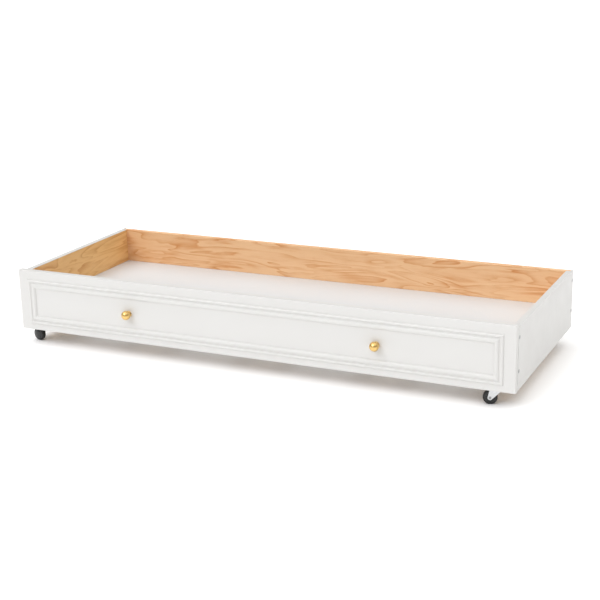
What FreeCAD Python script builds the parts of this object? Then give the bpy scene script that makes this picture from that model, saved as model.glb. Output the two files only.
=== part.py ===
import FreeCAD, Part
import math
import os
import re
import Sketcher
from FreeCAD import Placement, Rotation, Vector

# Trundle bed: a low drawer on four swivel casters that holds a 750 x 1900 mm mattress.
# Millimetres. +X runs along the bed, -Y is the front, +Z is up, and the floor is z = 0.
# The origin is on the floor, under the middle of the whole bed with its knobs.

SIZES = (
    # name, value, what it measures
    ("front_length", 1970, "false front, end to end"),
    ("overall_depth", 766, "false front's face to the back panel's outer face"),
    ("front_height", 235.5, "false front, bottom to top"),
    ("front_board", 25, "false front, thickness"),
    ("side_board", 22, "sides, thickness"),
    ("inner_board", 22, "box front, thickness"),
    ("back_board", 22, "back panel, thickness"),
    ("side_drop", 10, "false front's top down to the tops of the sides"),
    ("back_drop", 12, "false front's top down to the tops of the back panel and the box front"),
    ("box_lift", 1.5, "false front's bottom up to the bottoms of the sides and the back panel"),
    ("shadow_gap", 2, "false front's rear face to the front ends of the sides"),
    ("joint_bevel", 3, "bevels along the joint between the false front and the sides"),
    ("front_ease", 2.5, "rounding of the false front's front edges"),
    ("board_ease", 1.5, "rounding of the top edges of the sides and the back panel"),
    ("rebate_tongue", 6, "what the rear rebate leaves of a side's thickness"),
    ("deck_rise", 87.5, "false front's bottom up to the deck's top"),
    ("deck_board", 12, "deck panel, thickness"),
    ("deck_gap", 1, "clearance all round the deck panel"),
    ("ledger_width", 22, "battens under the deck's edges, width"),
    ("bearer_width", 45, "cross bearers, width"),
    ("rail_board", 22, "caster rails, thickness"),
    ("rail_width", 86, "caster rails, width"),
    ("rail_lift", 9, "false front's bottom up to the undersides of the caster rails"),
    ("moulding_end", 41.5, "false front's ends to the moulding"),
    ("moulding_above", 33.5, "moulding to the false front's top"),
    ("moulding_below", 24, "false front's bottom to the moulding"),
    ("moulding_width", 34, "moulding, width"),
    ("swell_width", 18.5, "moulding's inner swell, width"),
    ("swell_rise", 7, "moulding's inner swell above the face"),
    ("bead_width", 11.5, "moulding's outer bead, width"),
    ("bead_rise", 5.5, "moulding's outer bead above the face"),
    ("moulding_lip", 1.6, "moulding's thickness at its edges and in its valley"),
    ("knob_pitch", 990, "one knob to the other"),
    ("knob_height", 111.5, "false front's bottom up to the knobs"),
    ("ball_diameter", 34.5, "knobs' balls"),
    ("knob_standoff", 19.5, "face to the ball's centre"),
    ("neck_diameter", 14, "knobs' necks"),
    ("rose_diameter", 25, "round plates behind the knobs"),
    ("rose_thickness", 3, "round plates behind the knobs"),
    ("rose_round", 1.5, "rounding of the round plates' rims"),
    ("knob_screw", 4, "knob screws, diameter"),
    ("knob_screw_head", 8, "knob screws' heads, diameter"),
    ("pan_height", 2.4, "height of the knob screws' and caster screws' heads"),
    ("knob_thread", 11, "depth of the knob screws in the knobs"),
    ("corner_head", 14, "corner screws' heads, diameter"),
    ("corner_shank", 7, "corner screws, diameter"),
    ("corner_length", 50, "corner screws, length"),
    ("corner_low", 68.5, "false front's bottom up to the lower corner screws"),
    ("corner_high", 39, "tops of the sides down to the upper corner screws"),
    ("wood_head", 8, "other wood screws' heads, diameter"),
    ("wood_shank", 4, "other wood screws, diameter"),
    ("wood_length", 38, "other wood screws, length"),
    ("head_dome", 0.6, "how far a wood screw's head is domed above the board"),
    ("front_screw_end", 163, "bay's ends to the nearest screws of the false front"),
    ("front_screw_low", 22, "knobs up to the lower screws of the false front"),
    ("front_screw_high", 29, "box front's top down to the upper screws of the false front"),
    ("ledger_screw_end", 113, "bay's ends to the nearest screws of the long ledgers"),
    ("rail_screw_end", 160, "bay's front and back to the nearest screws of the caster rails"),
    ("caster_height", 71, "floor to the caster plate's top"),
    ("caster_setback", 28, "a caster rail's end to the nearest kingpin"),
    ("caster_trail", 34, "kingpin to axle, level"),
    ("wheel_diameter", 50, "casters' wheels"),
    ("wheel_width", 18, "casters' wheels"),
    ("tyre_wall", 6, "tyre, thickness"),
    ("tyre_round", 3, "rounding of the tyre's edges"),
    ("hub_dome", 3, "how far the wheel's outer face is domed"),
    ("plate_length", 66, "caster plate, along the bed"),
    ("plate_width", 48, "caster plate, across the bed"),
    ("plate_sheet", 2.5, "caster plate, thickness"),
    ("plate_round", 5, "caster plate, corner radius"),
    ("plate_holes_long", 52, "caster plate's screw holes, spacing along the bed"),
    ("plate_holes_wide", 34, "caster plate's screw holes, spacing across the bed"),
    ("plate_screw", 4, "caster screws, diameter"),
    ("plate_screw_head", 7.5, "caster screws' heads, diameter"),
    ("plate_screw_length", 17, "caster screws, length under the head"),
    ("race_diameter", 38, "swivel's upper cup"),
    ("race_height", 4, "swivel's upper cup"),
    ("crown_diameter", 40, "round top of the swivelling arm"),
    ("arm_sheet", 2.5, "swivelling arm, thickness"),
    ("arm_gap", 1.5, "arm to the flat side of the wheel"),
    ("arm_end", 8.5, "radius of the arm's lower end"),
    ("arm_top", 30, "width of the arm where it meets its crown"),
    ("arm_shoulder", 22, "caster plate's top down to the arm's rear shoulder"),
    ("arm_lean", 3, "axle back to the arm's rear shoulder"),
    ("kingpin_diameter", 8, "kingpins"),
    ("kingpin_head", 13, "kingpins' heads"),
    ("kingpin_head_height", 3, "kingpins' heads"),
    ("kingpin_head_bevel", 1, "kingpins' heads"),
    ("axle_diameter", 8, "axles"),
    ("axle_head", 10, "axles' outer heads"),
    ("axle_head_height", 1.8, "axles' outer heads"),
    ("axle_depth", 14, "depth of the axles in the hubs"),
    ("swivel_gap", 0.3, "clearance over and under the arm's crown"),
    ("running_gap", 0.05, "radial clearance of a turning fit"),
    ("screw_clearance", 0.25, "radial clearance of a screw in a hole that it passes through"),
)

NEAR = 0.01      # how close counts as the same place when edges are picked
FULL_TURN = 360
HEAD_ANGLE = 90  # countersunk heads

# Places and lengths worked out from the sizes.
FLOOR_GAP = "(caster_height - rail_lift)"
KNOB_REACH = "(knob_standoff + ball_diameter / 2)"
FACE_Y = f"((-overall_depth + {KNOB_REACH}) / 2)"
BOX_FRONT_Y = f"({FACE_Y} + front_board)"
BAY_FRONT_Y = f"({BOX_FRONT_Y} + inner_board)"
BAY_BACK_Y = f"({FACE_Y} + overall_depth - back_board)"
BAY_MIDDLE_Y = f"(({BAY_FRONT_Y} + {BAY_BACK_Y}) / 2)"
BAY_DEPTH = "(overall_depth - front_board - inner_board - back_board)"
BAY_HALF = "(front_length / 2 - side_board)"
BOX_BOTTOM = f"({FLOOR_GAP} + box_lift)"
RAIL_TOP = "(caster_height + rail_board)"
DECK_BOTTOM = f"({FLOOR_GAP} + deck_rise - deck_board)"
LEDGER_HEIGHT = f"({DECK_BOTTOM} - {RAIL_TOP})"
SIDE_LENGTH = "(overall_depth - front_board - shadow_gap)"
RAIL_LENGTH = "(overall_depth - front_board - back_board)"
BACK_TOP = f"({FLOOR_GAP} + front_height - back_drop)"
SIDE_TOP = f"({FLOOR_GAP} + front_height - side_drop)"
CORNER_SCREW_SPAN = "(overall_depth - front_board - inner_board / 2 - back_board / 2)"
KINGPIN_X = f"({BAY_HALF} - rail_width / 2)"
KINGPIN_Y = {"front": f"({BOX_FRONT_Y} + caster_setback)", "rear": f"({BAY_BACK_Y} - caster_setback)"}
KINGPIN_SPAN = f"({RAIL_LENGTH} - 2 * caster_setback)"
AXLE_DROP = "(caster_height - wheel_diameter / 2)"
HUB_RADIUS = "(wheel_diameter / 2 - tyre_wall)"
CROWN_TOP = "(plate_sheet + race_height + swivel_gap)"
ARM_INSIDE = "(wheel_width / 2 + arm_gap)"

doc = FreeCAD.newDocument("trundle_bed")
sheet = doc.addObject("Spreadsheet::Sheet", "Sizes")
for row, (alias, value, meaning) in enumerate(SIZES, 1):
    sheet.set(f"A{row}", meaning)
    sheet.set(f"B{row}", str(value))
    sheet.setAlias(f"B{row}", alias)
doc.recompute()

ALIASES = re.compile(r"\b(" + "|".join(alias for alias, _, _ in SIZES) + r")\b")
NORMAL_SIGN = {"XY_Plane": 1, "XZ_Plane": -1, "YZ_Plane": 1}   # a plane's normal along its axis


# Expressions

def in_sheet(text):
    """The expression with every named size looked up in the sheet."""
    return ALIASES.sub(r"Sizes.\1", str(text))


def number(text):
    """The present value of an expression."""
    return float(sheet.evalExpression(in_sheet(text)))


def bind(thing, name, text):
    """Tie a property to an expression."""
    thing.setExpression(name, in_sheet(text))


# Sketches

def origin_of(body, role):
    """One of a body's own origin planes or axes."""
    return next(feature for feature in body.Origin.OriginFeatures if feature.Role == role)


def sketch_on(body, name, plane, offset="0"):
    """An empty sketch on an origin plane, moved by offset along the plane's axis."""
    sketch = body.newObject("Sketcher::SketchObject", f"{body.Label}_{name}")
    sketch.AttachmentSupport = [(origin_of(body, plane), "")]
    sketch.MapMode = "FlatFace"
    bind(sketch, "AttachmentOffset.Base.z", f"{NORMAL_SIGN[plane]} * ({offset})")
    return sketch


def hold(sketch, kind, element, point, text):
    """Dimension a point from the sketch's origin with an expression."""
    index = sketch.addConstraint(Sketcher.Constraint(kind, -1, 1, element, point, number(text)))
    bind(sketch, f"Constraints[{index}]", text)


def bent_edge(start, end, radius):
    """An arc from start to end that bulges to the right of the way, or to the left if negative."""
    middle = (start + end) / 2
    left = Vector(start.y - end.y, end.x - start.x, 0).normalize()
    half = (end - start).Length / 2
    reach = math.sqrt(max(radius * radius - half * half, 0))
    side = math.copysign(1, radius)
    return Part.Arc(start, middle - left * side * (abs(radius) - reach), end)


def outline(sketch, corners):
    """A closed outline through corners (x, y) or (x, y, radius of the arc to the next corner)."""
    places = [Vector(number(corner[0]), number(corner[1]), 0) for corner in corners]
    starts = {}
    ends = {}
    for index, corner in enumerate(corners):
        start, end = places[index], places[(index + 1) % len(places)]
        radius = number(corner[2]) if len(corner) > 2 else 0
        edge = bent_edge(start, end, radius) if radius else Part.LineSegment(start, end)
        element = sketch.addGeometry(edge)
        starts[index] = (element, 2 if radius < 0 else 1)
        ends[index] = (element, 1 if radius < 0 else 2)
        if radius:
            bow = sketch.addConstraint(Sketcher.Constraint("Radius", element, abs(radius)))
            bind(sketch, f"Constraints[{bow}]", f"abs({corner[2]})")
    for index, corner in enumerate(corners):
        before = (index - 1) % len(corners)
        sketch.addConstraint(Sketcher.Constraint("Coincident", *ends[before], *starts[index]))
        hold(sketch, "DistanceX", *starts[index], corner[0])
        hold(sketch, "DistanceY", *starts[index], corner[1])


def rectangle(left, bottom, right, top):
    """The four corners of a rectangle."""
    return [(left, bottom), (right, bottom), (right, top), (left, top)]


def circles(sketch, centres, diameter):
    """A circle of one diameter at every centre."""
    for across, along in centres:
        centre = Vector(number(across), number(along), 0)
        element = sketch.addGeometry(Part.Circle(centre, Vector(0, 0, 1), number(diameter) / 2))
        width = sketch.addConstraint(Sketcher.Constraint("Diameter", element, number(diameter)))
        bind(sketch, f"Constraints[{width}]", diameter)
        hold(sketch, "DistanceX", element, 3, across)
        hold(sketch, "DistanceY", element, 3, along)


# Features

def new_body(label):
    """An empty body with its label."""
    body = doc.addObject("PartDesign::Body", label)
    body.Label = label
    return body


def extrude(body, name, sketch, thickness, toward):
    """Give a sketch thickness toward the plus or minus side of its plane's axis."""
    plane = sketch.AttachmentSupport[0][0].Role
    feature = body.newObject("PartDesign::Pad", f"{body.Label}_{name}")
    feature.Profile = sketch
    feature.Reversed = toward * NORMAL_SIGN[plane] < 0
    bind(feature, "Length", thickness)
    doc.recompute()


def pad(body, name, plane, corners, thickness, toward=1, offset="0"):
    """A plate of the outline, built toward the plus or minus side of the plane's axis."""
    sketch = sketch_on(body, f"{name}_outline", plane, offset)
    outline(sketch, corners)
    extrude(body, name, sketch, thickness, toward)


def disc(body, name, plane, centre, diameter, thickness, toward=1, offset="0"):
    """A round plate, built toward the plus or minus side of the plane's axis."""
    sketch = sketch_on(body, f"{name}_outline", plane, offset)
    circles(sketch, [centre], diameter)
    extrude(body, name, sketch, thickness, toward)


def turn(body, name, corners):
    """A turned piece: the half section, x from the axis and y along it, round the body's Z axis."""
    sketch = sketch_on(body, f"{name}_section", "XZ_Plane")
    outline(sketch, corners)
    feature = body.newObject("PartDesign::Revolution", f"{body.Label}_{name}")
    feature.Profile = sketch
    feature.ReferenceAxis = (sketch, ["V_Axis"])
    feature.Angle = FULL_TURN
    doc.recompute()
    return feature


def take_away(body, feature, before):
    """Recompute a cut and make sure that it removed something."""
    doc.recompute()
    if feature.Shape.isNull() or feature.Shape.Volume > before - NEAR:
        raise RuntimeError(f"{feature.Label} cuts nothing from {body.Label}")


def pocket(body, name, sketch, depth, toward):
    """Cut a sketch into the body toward one side of its plane's axis; no depth means through."""
    plane = sketch.AttachmentSupport[0][0].Role
    before = body.Shape.Volume
    feature = body.newObject("PartDesign::Pocket", f"{body.Label}_{name}")
    feature.Profile = sketch
    feature.Reversed = toward * NORMAL_SIGN[plane] > 0
    if depth is None:
        feature.Type = "ThroughAll"
    else:
        bind(feature, "Length", depth)
    take_away(body, feature, before)


def cut(body, name, plane, outlines, depth=None, toward=1, offset="0"):
    """Cut closed outlines into the body."""
    sketch = sketch_on(body, f"{name}_outline", plane, offset)
    for corners in outlines:
        outline(sketch, corners)
    pocket(body, name, sketch, depth, toward)


def drill(body, name, plane, centres, diameter, depth=None, toward=1, offset="0"):
    """Drill flat-bottomed holes."""
    sketch = sketch_on(body, f"{name}_centres", plane, offset)
    circles(sketch, centres, diameter)
    pocket(body, name, sketch, depth, toward)


def countersink(body, name, plane, centres, shank, head, toward=1, offset="0"):
    """Drill through for countersunk screws whose heads come in at the sketch's plane."""
    sketch = sketch_on(body, f"{name}_centres", plane, offset)
    circles(sketch, centres, shank)
    doc.recompute()
    before = body.Shape.Volume
    hole = body.newObject("PartDesign::Hole", f"{body.Label}_{name}")
    hole.Profile = sketch
    hole.Reversed = toward * NORMAL_SIGN[plane] > 0
    hole.Threaded = False
    hole.DepthType = "ThroughAll"
    hole.HoleCutType = "Countersink"
    hole.HoleCutCountersinkAngle = HEAD_ANGLE
    bind(hole, "Diameter", shank)
    bind(hole, "HoleCutDiameter", head)
    take_away(body, hole, before)


def soften(body, name, kind, amount, chosen):
    """Round ("Fillet") or bevel ("Chamfer") the edges whose bounding boxes are chosen."""
    tip = body.Tip
    edges = [f"Edge{index}" for index, edge in enumerate(tip.Shape.Edges, 1) if chosen(edge.BoundBox)]
    feature = body.newObject(f"PartDesign::{kind}", f"{body.Label}_{name}")
    feature.Base = (tip, edges)
    bind(feature, "Radius" if kind == "Fillet" else "Size", amount)
    doc.recompute()


def repeat(body, name, rows):
    """Repeat the whole body along its own axes: rows of (axis, spacing, count)."""
    for index, (axis, spacing, count) in enumerate(rows):
        feature = body.newObject("PartDesign::LinearPattern", f"{body.Label}_{name}{index + 1}")
        feature.TransformMode = "Whole shape"
        feature.Direction = (origin_of(body, axis), [""])
        feature.Occurrences = count
        bind(feature, "Length", f"({spacing}) * {count - 1}")
        body.Tip = feature
        doc.recompute()


def place(body, across, along, up, rotation=Rotation()):
    """Turn the body and tie its place to expressions."""
    body.Placement = Placement(Vector(), rotation)
    for axis, text in zip("xyz", (across, along, up)):
        bind(body, f"Placement.Base.{axis}", text)


def at(value, target):
    """Whether two places are the same."""
    return abs(value - target) < NEAR


def spread(count, pitch):
    """The places of a row, evenly spaced about its middle."""
    return [f"{index - (count - 1) / 2} * {pitch}" for index in range(count)]


ABOUT_X = Vector(1, 0, 0)
ABOUT_Y = Vector(0, 1, 0)
ABOUT_Z = Vector(0, 0, 1)
FACING_BACK = Rotation(ABOUT_X, -90)    # local Z to +Y
FACING_FRONT = Rotation(ABOUT_X, 90)    # local Z to -Y
FACING_LEFT = Rotation(ABOUT_Y, -90)    # local Z to -X, local X to +Z
FACING_RIGHT = Rotation(ABOUT_Y, 90)    # local Z to +X, local X to -Z
FACING_DOWN = Rotation(ABOUT_X, 180)    # local Z to -Z


# Screws: the local Z axis runs out of the head, and the board's face is at z = seat.

def countersunk_screw(label, head, shank, length, seat="0"):
    """A countersunk screw with a slightly domed head and a pointed end."""
    body = new_body(label)
    dome = f"(({head} / 2)^2 + head_dome^2) / (2 * head_dome)"
    turn(body, "screw", [
        (f"{shank} / 2", f"{seat} - ({head} - {shank}) / 2"),
        (f"{head} / 2", seat, dome),
        ("0", f"{seat} + head_dome"),
        ("0", f"{seat} - {length}"),
        (f"{shank} / 2", f"{seat} - {length} + {shank}"),
    ])
    return body


def pan_screw(label, head, shank, length):
    """A screw with a flat-bottomed round head that stands on the face."""
    body = new_body(label)
    turn(body, "screw", [
        (f"{shank} / 2", "0"), (f"{head} / 2", "0"), (f"{head} / 2", "pan_height / 2"),
        (f"{head} / 2 - pan_height / 2", "pan_height"), ("0", "pan_height"),
        ("0", f"-({length})"), (f"{shank} / 2", f"-({length})"),
    ])
    return body


# The front

KNOB_PLACES = [("-knob_pitch / 2", "knob_height"), ("knob_pitch / 2", "knob_height")]
FRONT_SCREW_COLUMNS = 5
FRONT_SCREW_PITCH = f"(2 * ({BAY_HALF} - front_screw_end) / {FRONT_SCREW_COLUMNS - 1})"
FRONT_SCREW_LEVELS = ("(knob_height + front_screw_low)", "(front_height - back_drop - front_screw_high)")
FRONT_SCREW_PLACES = [(across, level) for across in spread(FRONT_SCREW_COLUMNS, FRONT_SCREW_PITCH)
                      for level in FRONT_SCREW_LEVELS]
KNOB_CLEARANCE_HOLE = "knob_screw + 2 * screw_clearance"
PILOT_DEPTH = "(wood_length - inner_board)"


def make_front_panel():
    """The false front, with its knob holes and the pilot holes of the screws behind it."""
    body = new_body("front_panel")
    board = rectangle("-front_length / 2", "0", "front_length / 2", "front_height")
    pad(body, "board", "XZ_Plane", board, "front_board")
    half = number("front_length") / 2
    rear = number("front_board")
    soften(body, "front_edges", "Fillet", "front_ease", lambda box: at(box.YMax, 0))
    soften(body, "joint_bevels", "Chamfer", "joint_bevel",
           lambda box: at(box.YMin, rear) and at(box.XMin, box.XMax) and at(abs(box.XMin), half))
    drill(body, "knob_holes", "XZ_Plane", KNOB_PLACES, KNOB_CLEARANCE_HOLE)
    drill(body, "pilot_holes", "XZ_Plane", FRONT_SCREW_PLACES, "wood_shank", PILOT_DEPTH,
          toward=-1, offset="front_board")
    place(body, "0", FACE_Y, FLOOR_GAP)


def bow(width, rise):
    """The radius of a rounded ridge of this width that rises from the moulding's lip."""
    proud = f"({rise} - moulding_lip)"
    return f"({width}^2 / 4 + {proud}^2) / (2 * {proud})"


def make_moulding(label, length, across, up, angle):
    """One mitred length of moulding: local X along it, local Z from its outer edge inward."""
    body = new_body(label)
    pad(body, "profile", "YZ_Plane", [
        ("0", "0"), ("0", "moulding_width"),
        ("-moulding_lip", "moulding_width", bow("swell_width", "swell_rise")),
        ("-moulding_lip", "moulding_width - swell_width"),
        ("-moulding_lip", "bead_width", bow("bead_width", "bead_rise")), ("-moulding_lip", "0"),
    ], length, offset=f"-({length}) / 2")
    beyond = "(2 * moulding_width)"
    cut(body, "mitres", "XZ_Plane", [
        [(f"-({length}) / 2", "0"), (f"-({length}) / 2 + {beyond}", beyond), (f"-({length}) / 2", beyond)],
        [(f"({length}) / 2", "0"), (f"({length}) / 2", beyond), (f"({length}) / 2 - {beyond}", beyond)],
    ], depth="2 * swell_rise", toward=-1, offset="swell_rise / 2")
    place(body, across, FACE_Y, up, Rotation(ABOUT_Y, angle))


def make_mouldings():
    """The four sides of the mitred frame on the false front."""
    wide = "(front_length - 2 * moulding_end)"
    high = "(front_height - moulding_above - moulding_below)"
    middle = f"({FLOOR_GAP} + moulding_below + {high} / 2)"
    make_moulding("moulding_bottom", wide, "0", f"{FLOOR_GAP} + moulding_below", 0)
    make_moulding("moulding_top", wide, "0", f"{FLOOR_GAP} + front_height - moulding_above", 180)
    make_moulding("moulding_left", high, f"-{wide} / 2", middle, 90)
    make_moulding("moulding_right", high, f"{wide} / 2", middle, -90)


def make_knob(side, sign):
    """A ball knob, its rose and the machine screw that holds them."""
    across = f"{sign} * knob_pitch / 2"
    up = f"{FLOOR_GAP} + knob_height"
    rose = new_body(f"{side}_knob_rose")
    turn(rose, "disc", rectangle(f"({KNOB_CLEARANCE_HOLE}) / 2", "0", "rose_diameter / 2", "rose_thickness"))
    face, rim = number("rose_thickness"), number("rose_diameter")
    soften(rose, "rim", "Fillet", "rose_round", lambda box: at(box.ZMin, face) and at(box.XLength, rim))
    place(rose, across, FACE_Y, up, FACING_FRONT)

    knob = new_body(f"{side}_knob")
    neck_end = "(knob_standoff - sqrt((ball_diameter / 2)^2 - (neck_diameter / 2)^2))"
    turn(knob, "ball", [
        ("knob_screw / 2", "rose_thickness"), ("neck_diameter / 2", "rose_thickness"),
        ("neck_diameter / 2", neck_end, "ball_diameter / 2"), ("0", KNOB_REACH),
        ("0", "rose_thickness + knob_thread"), ("knob_screw / 2", "rose_thickness + knob_thread"),
    ])
    place(knob, across, FACE_Y, up, FACING_FRONT)

    screw = pan_screw(f"{side}_knob_screw", "knob_screw_head", "knob_screw",
                      "inner_board + front_board + rose_thickness + knob_thread")
    place(screw, across, BAY_FRONT_Y, up, FACING_BACK)


def make_front_screws():
    """The screws from inside the box into the false front, in two rows."""
    body = countersunk_screw("front_screws", "wood_head", "wood_shank", "wood_length")
    low, high = FRONT_SCREW_LEVELS
    repeat(body, "row", [("X_Axis", FRONT_SCREW_PITCH, FRONT_SCREW_COLUMNS),
                         ("Y_Axis", f"{high} - {low}", len(FRONT_SCREW_LEVELS))])
    place(body, f"-({BAY_HALF} - front_screw_end)", BAY_FRONT_Y, f"{FLOOR_GAP} + {high}", FACING_BACK)


# The box

CORNER_SCREW_LEVELS = ("(corner_low - box_lift)", "(front_height - side_drop - corner_high - box_lift)")
CORNER_SCREW_RISE = f"({CORNER_SCREW_LEVELS[1]} - {CORNER_SCREW_LEVELS[0]})"
CORNER_PILOT = "(corner_length - side_board)"
LEDGER_SCREW_COLUMNS = 6
LEDGER_SCREW_PITCH = f"(2 * ({BAY_HALF} - ledger_screw_end) / {LEDGER_SCREW_COLUMNS - 1})"
LEDGER_SCREW_ROW = spread(LEDGER_SCREW_COLUMNS, LEDGER_SCREW_PITCH)
LEDGER_PILOT = "(wood_length - ledger_width)"


def make_box_front():
    """The hidden front board of the box, which stands on the caster rails."""
    body = new_body("box_front")
    pad(body, "board", "XZ_Plane", rectangle(f"-{BAY_HALF}", "0", BAY_HALF, f"{BACK_TOP} - {RAIL_TOP}"),
        "inner_board")
    base = f"({FLOOR_GAP} - {RAIL_TOP})"
    drill(body, "knob_holes", "XZ_Plane", [(x, f"{z} + {base}") for x, z in KNOB_PLACES], KNOB_CLEARANCE_HOLE)
    countersink(body, "screw_holes", "XZ_Plane", [(x, f"{z} + {base}") for x, z in FRONT_SCREW_PLACES],
                "wood_shank", "wood_head", toward=-1, offset="inner_board")
    drill(body, "ledger_pilots", "XZ_Plane", [(x, f"{LEDGER_HEIGHT} / 2") for x in LEDGER_SCREW_ROW],
          "wood_shank", LEDGER_PILOT, toward=-1, offset="inner_board")
    ends = [("inner_board / 2", f"{level} + {BOX_BOTTOM} - {RAIL_TOP}") for level in CORNER_SCREW_LEVELS]
    for name, sign in (("left_pilots", 1), ("right_pilots", -1)):
        drill(body, name, "YZ_Plane", ends, "corner_shank", CORNER_PILOT, toward=sign,
              offset=f"{-sign} * {BAY_HALF}")
    place(body, "0", BOX_FRONT_Y, RAIL_TOP)


def make_side(side, sign):
    """A side board: local x = 0 is its outer face, and it is built inward."""
    body = new_body(f"{side}_side")
    inward = -sign
    pad(body, "board", "YZ_Plane", rectangle("0", "0", SIDE_LENGTH, f"{SIDE_TOP} - {BOX_BOTTOM}"),
        "side_board", toward=inward)
    rear = f"({SIDE_LENGTH} - back_board)"
    deep = [f"{inward} * rebate_tongue", f"{inward} * side_board"]
    left, right = deep if inward > 0 else deep[::-1]
    cut(body, "rebate", "XY_Plane", [rectangle(left, rear, right, SIDE_LENGTH)])
    top = number(f"{SIDE_TOP} - {BOX_BOTTOM}")
    soften(body, "joint_bevel", "Chamfer", "joint_bevel",
           lambda box: at(box.YMax, 0) and at(box.XMin, 0) and at(box.XMax, 0) and box.ZLength > top / 2)
    soften(body, "top_edges", "Fillet", "board_ease",
           lambda box: at(box.ZMin, top) and at(box.XLength, 0) and box.YLength > top)
    places = [(y, z) for y in ("inner_board / 2 - shadow_gap", f"{SIDE_LENGTH} - back_board / 2")
              for z in CORNER_SCREW_LEVELS]
    countersink(body, "screw_holes", "YZ_Plane", places, "corner_shank", "corner_head", toward=inward)
    place(body, f"{sign} * front_length / 2", f"{BOX_FRONT_Y} + shadow_gap", BOX_BOTTOM)


def make_back_panel():
    """The back board, let into the rebates of the sides: local y = 0 is its inner face."""
    body = new_body("back_panel")
    half = "(front_length / 2 - rebate_tongue)"
    board = rectangle(f"-{half}", "0", half, f"{BACK_TOP} - {BOX_BOTTOM}")
    pad(body, "board", "XZ_Plane", board, "back_board")
    top = number(f"{BACK_TOP} - {BOX_BOTTOM}")
    soften(body, "top_edges", "Fillet", "board_ease", lambda box: at(box.ZMin, top) and at(box.YLength, 0))
    for name, sign in (("left_pilots", 1), ("right_pilots", -1)):
        drill(body, name, "YZ_Plane", [("back_board / 2", level) for level in CORNER_SCREW_LEVELS],
              "corner_shank", "(corner_length - rebate_tongue)", toward=sign, offset=f"{-sign} * {half}")
    drill(body, "ledger_pilots", "XZ_Plane",
          [(x, f"{RAIL_TOP} - {BOX_BOTTOM} + {LEDGER_HEIGHT} / 2") for x in LEDGER_SCREW_ROW],
          "wood_shank", LEDGER_PILOT)
    place(body, "0", BAY_BACK_Y, BOX_BOTTOM)


def make_corner_screws():
    """Four screws through each side: two into the box front and two into the back panel."""
    low, high = CORNER_SCREW_LEVELS
    for side, across, rotation, start in (("left", "-front_length / 2", FACING_LEFT, low),
                                          ("right", "front_length / 2", FACING_RIGHT, high)):
        body = countersunk_screw(f"{side}_corner_screws", "corner_head", "corner_shank", "corner_length")
        repeat(body, "row", [("X_Axis", CORNER_SCREW_RISE, 2), ("Y_Axis", CORNER_SCREW_SPAN, 2)])
        place(body, across, f"{BOX_FRONT_Y} + inner_board / 2", f"{BOX_BOTTOM} + {start}", rotation)


# The deck and what carries it

def make_block(label, wide, deep, high, across, along, up):
    """A plain rectangular board, centred along X and built back and up from its front lower edge."""
    body = new_body(label)
    pad(body, "board", "XY_Plane", rectangle(f"-({wide}) / 2", "0", f"({wide}) / 2", deep), high)
    place(body, across, along, up)
    return body


def make_deck():
    """The deck panel, which lies on the ledgers and bearers."""
    deck = make_block("deck_panel", f"2 * ({BAY_HALF} - deck_gap)", f"{BAY_DEPTH} - 2 * deck_gap",
                      "deck_board", "0", f"{BAY_FRONT_Y} + deck_gap", DECK_BOTTOM)
    top = number("deck_board")
    soften(deck, "top_edges", "Fillet", "deck_gap", lambda box: at(box.ZMin, top))


def make_ledgers():
    """Battens round the bay: the long ones are screwed on, and the short ones stand between them."""
    row = [(x, f"{LEDGER_HEIGHT} / 2") for x in LEDGER_SCREW_ROW]
    for label, along, toward, face in (("front_ledger", BAY_FRONT_Y, -1, "ledger_width"),
                                       ("back_ledger", f"{BAY_BACK_Y} - ledger_width", 1, "0")):
        body = make_block(label, f"2 * {BAY_HALF}", "ledger_width", LEDGER_HEIGHT, "0", along, RAIL_TOP)
        countersink(body, "screw_holes", "XZ_Plane", row, "wood_shank", "wood_head",
                    toward=toward, offset=face)
    for side, sign in (("left", -1), ("right", 1)):
        start = f"({BAY_FRONT_Y} + ledger_width)"
        body = make_block(f"{side}_ledger", "ledger_width", f"{BAY_DEPTH} - 2 * ledger_width",
                          LEDGER_HEIGHT, f"{sign} * ({BAY_HALF} - ledger_width / 2)", start, RAIL_TOP)
        drill(body, "rail_pilots", "XY_Plane", rail_screw_places("0", start), "wood_shank",
              "(wood_length - rail_board)")
    screws = countersunk_screw("ledger_screws", "wood_head", "wood_shank", "wood_length",
                               seat=f"(ledger_width - {BAY_DEPTH} / 2)")
    repeat(screws, "row", [("X_Axis", LEDGER_SCREW_PITCH, LEDGER_SCREW_COLUMNS)])
    mirror = screws.newObject("PartDesign::Mirrored", "ledger_screws_behind")
    mirror.TransformMode = "Whole shape"
    mirror.MirrorPlane = (origin_of(screws, "XY_Plane"), [""])
    screws.Tip = mirror
    place(screws, LEDGER_SCREW_ROW[0], BAY_MIDDLE_Y, f"{RAIL_TOP} + {LEDGER_HEIGHT} / 2", FACING_BACK)


def make_bearers():
    """Cross bearers between the long ledgers, which divide the bay evenly."""
    names = ("left", "centre", "right")
    for name, across in zip(names, spread(len(names), f"(2 * {BAY_HALF} / {len(names) + 1})")):
        make_block(f"{name}_bearer", "bearer_width", f"{BAY_DEPTH} - 2 * ledger_width", LEDGER_HEIGHT,
                   across, f"{BAY_FRONT_Y} + ledger_width", RAIL_TOP)


# The caster rails

RAIL_SCREW_ROWS = 3
RAIL_SCREW_PITCH = f"(({BAY_DEPTH} - 2 * rail_screw_end) / {RAIL_SCREW_ROWS - 1})"


def rail_screw_places(across, start):
    """The rail screws' places, with y measured from start."""
    return [(across, f"{BAY_MIDDLE_Y} + {along} - ({start})")
            for along in spread(RAIL_SCREW_ROWS, RAIL_SCREW_PITCH)]


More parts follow.
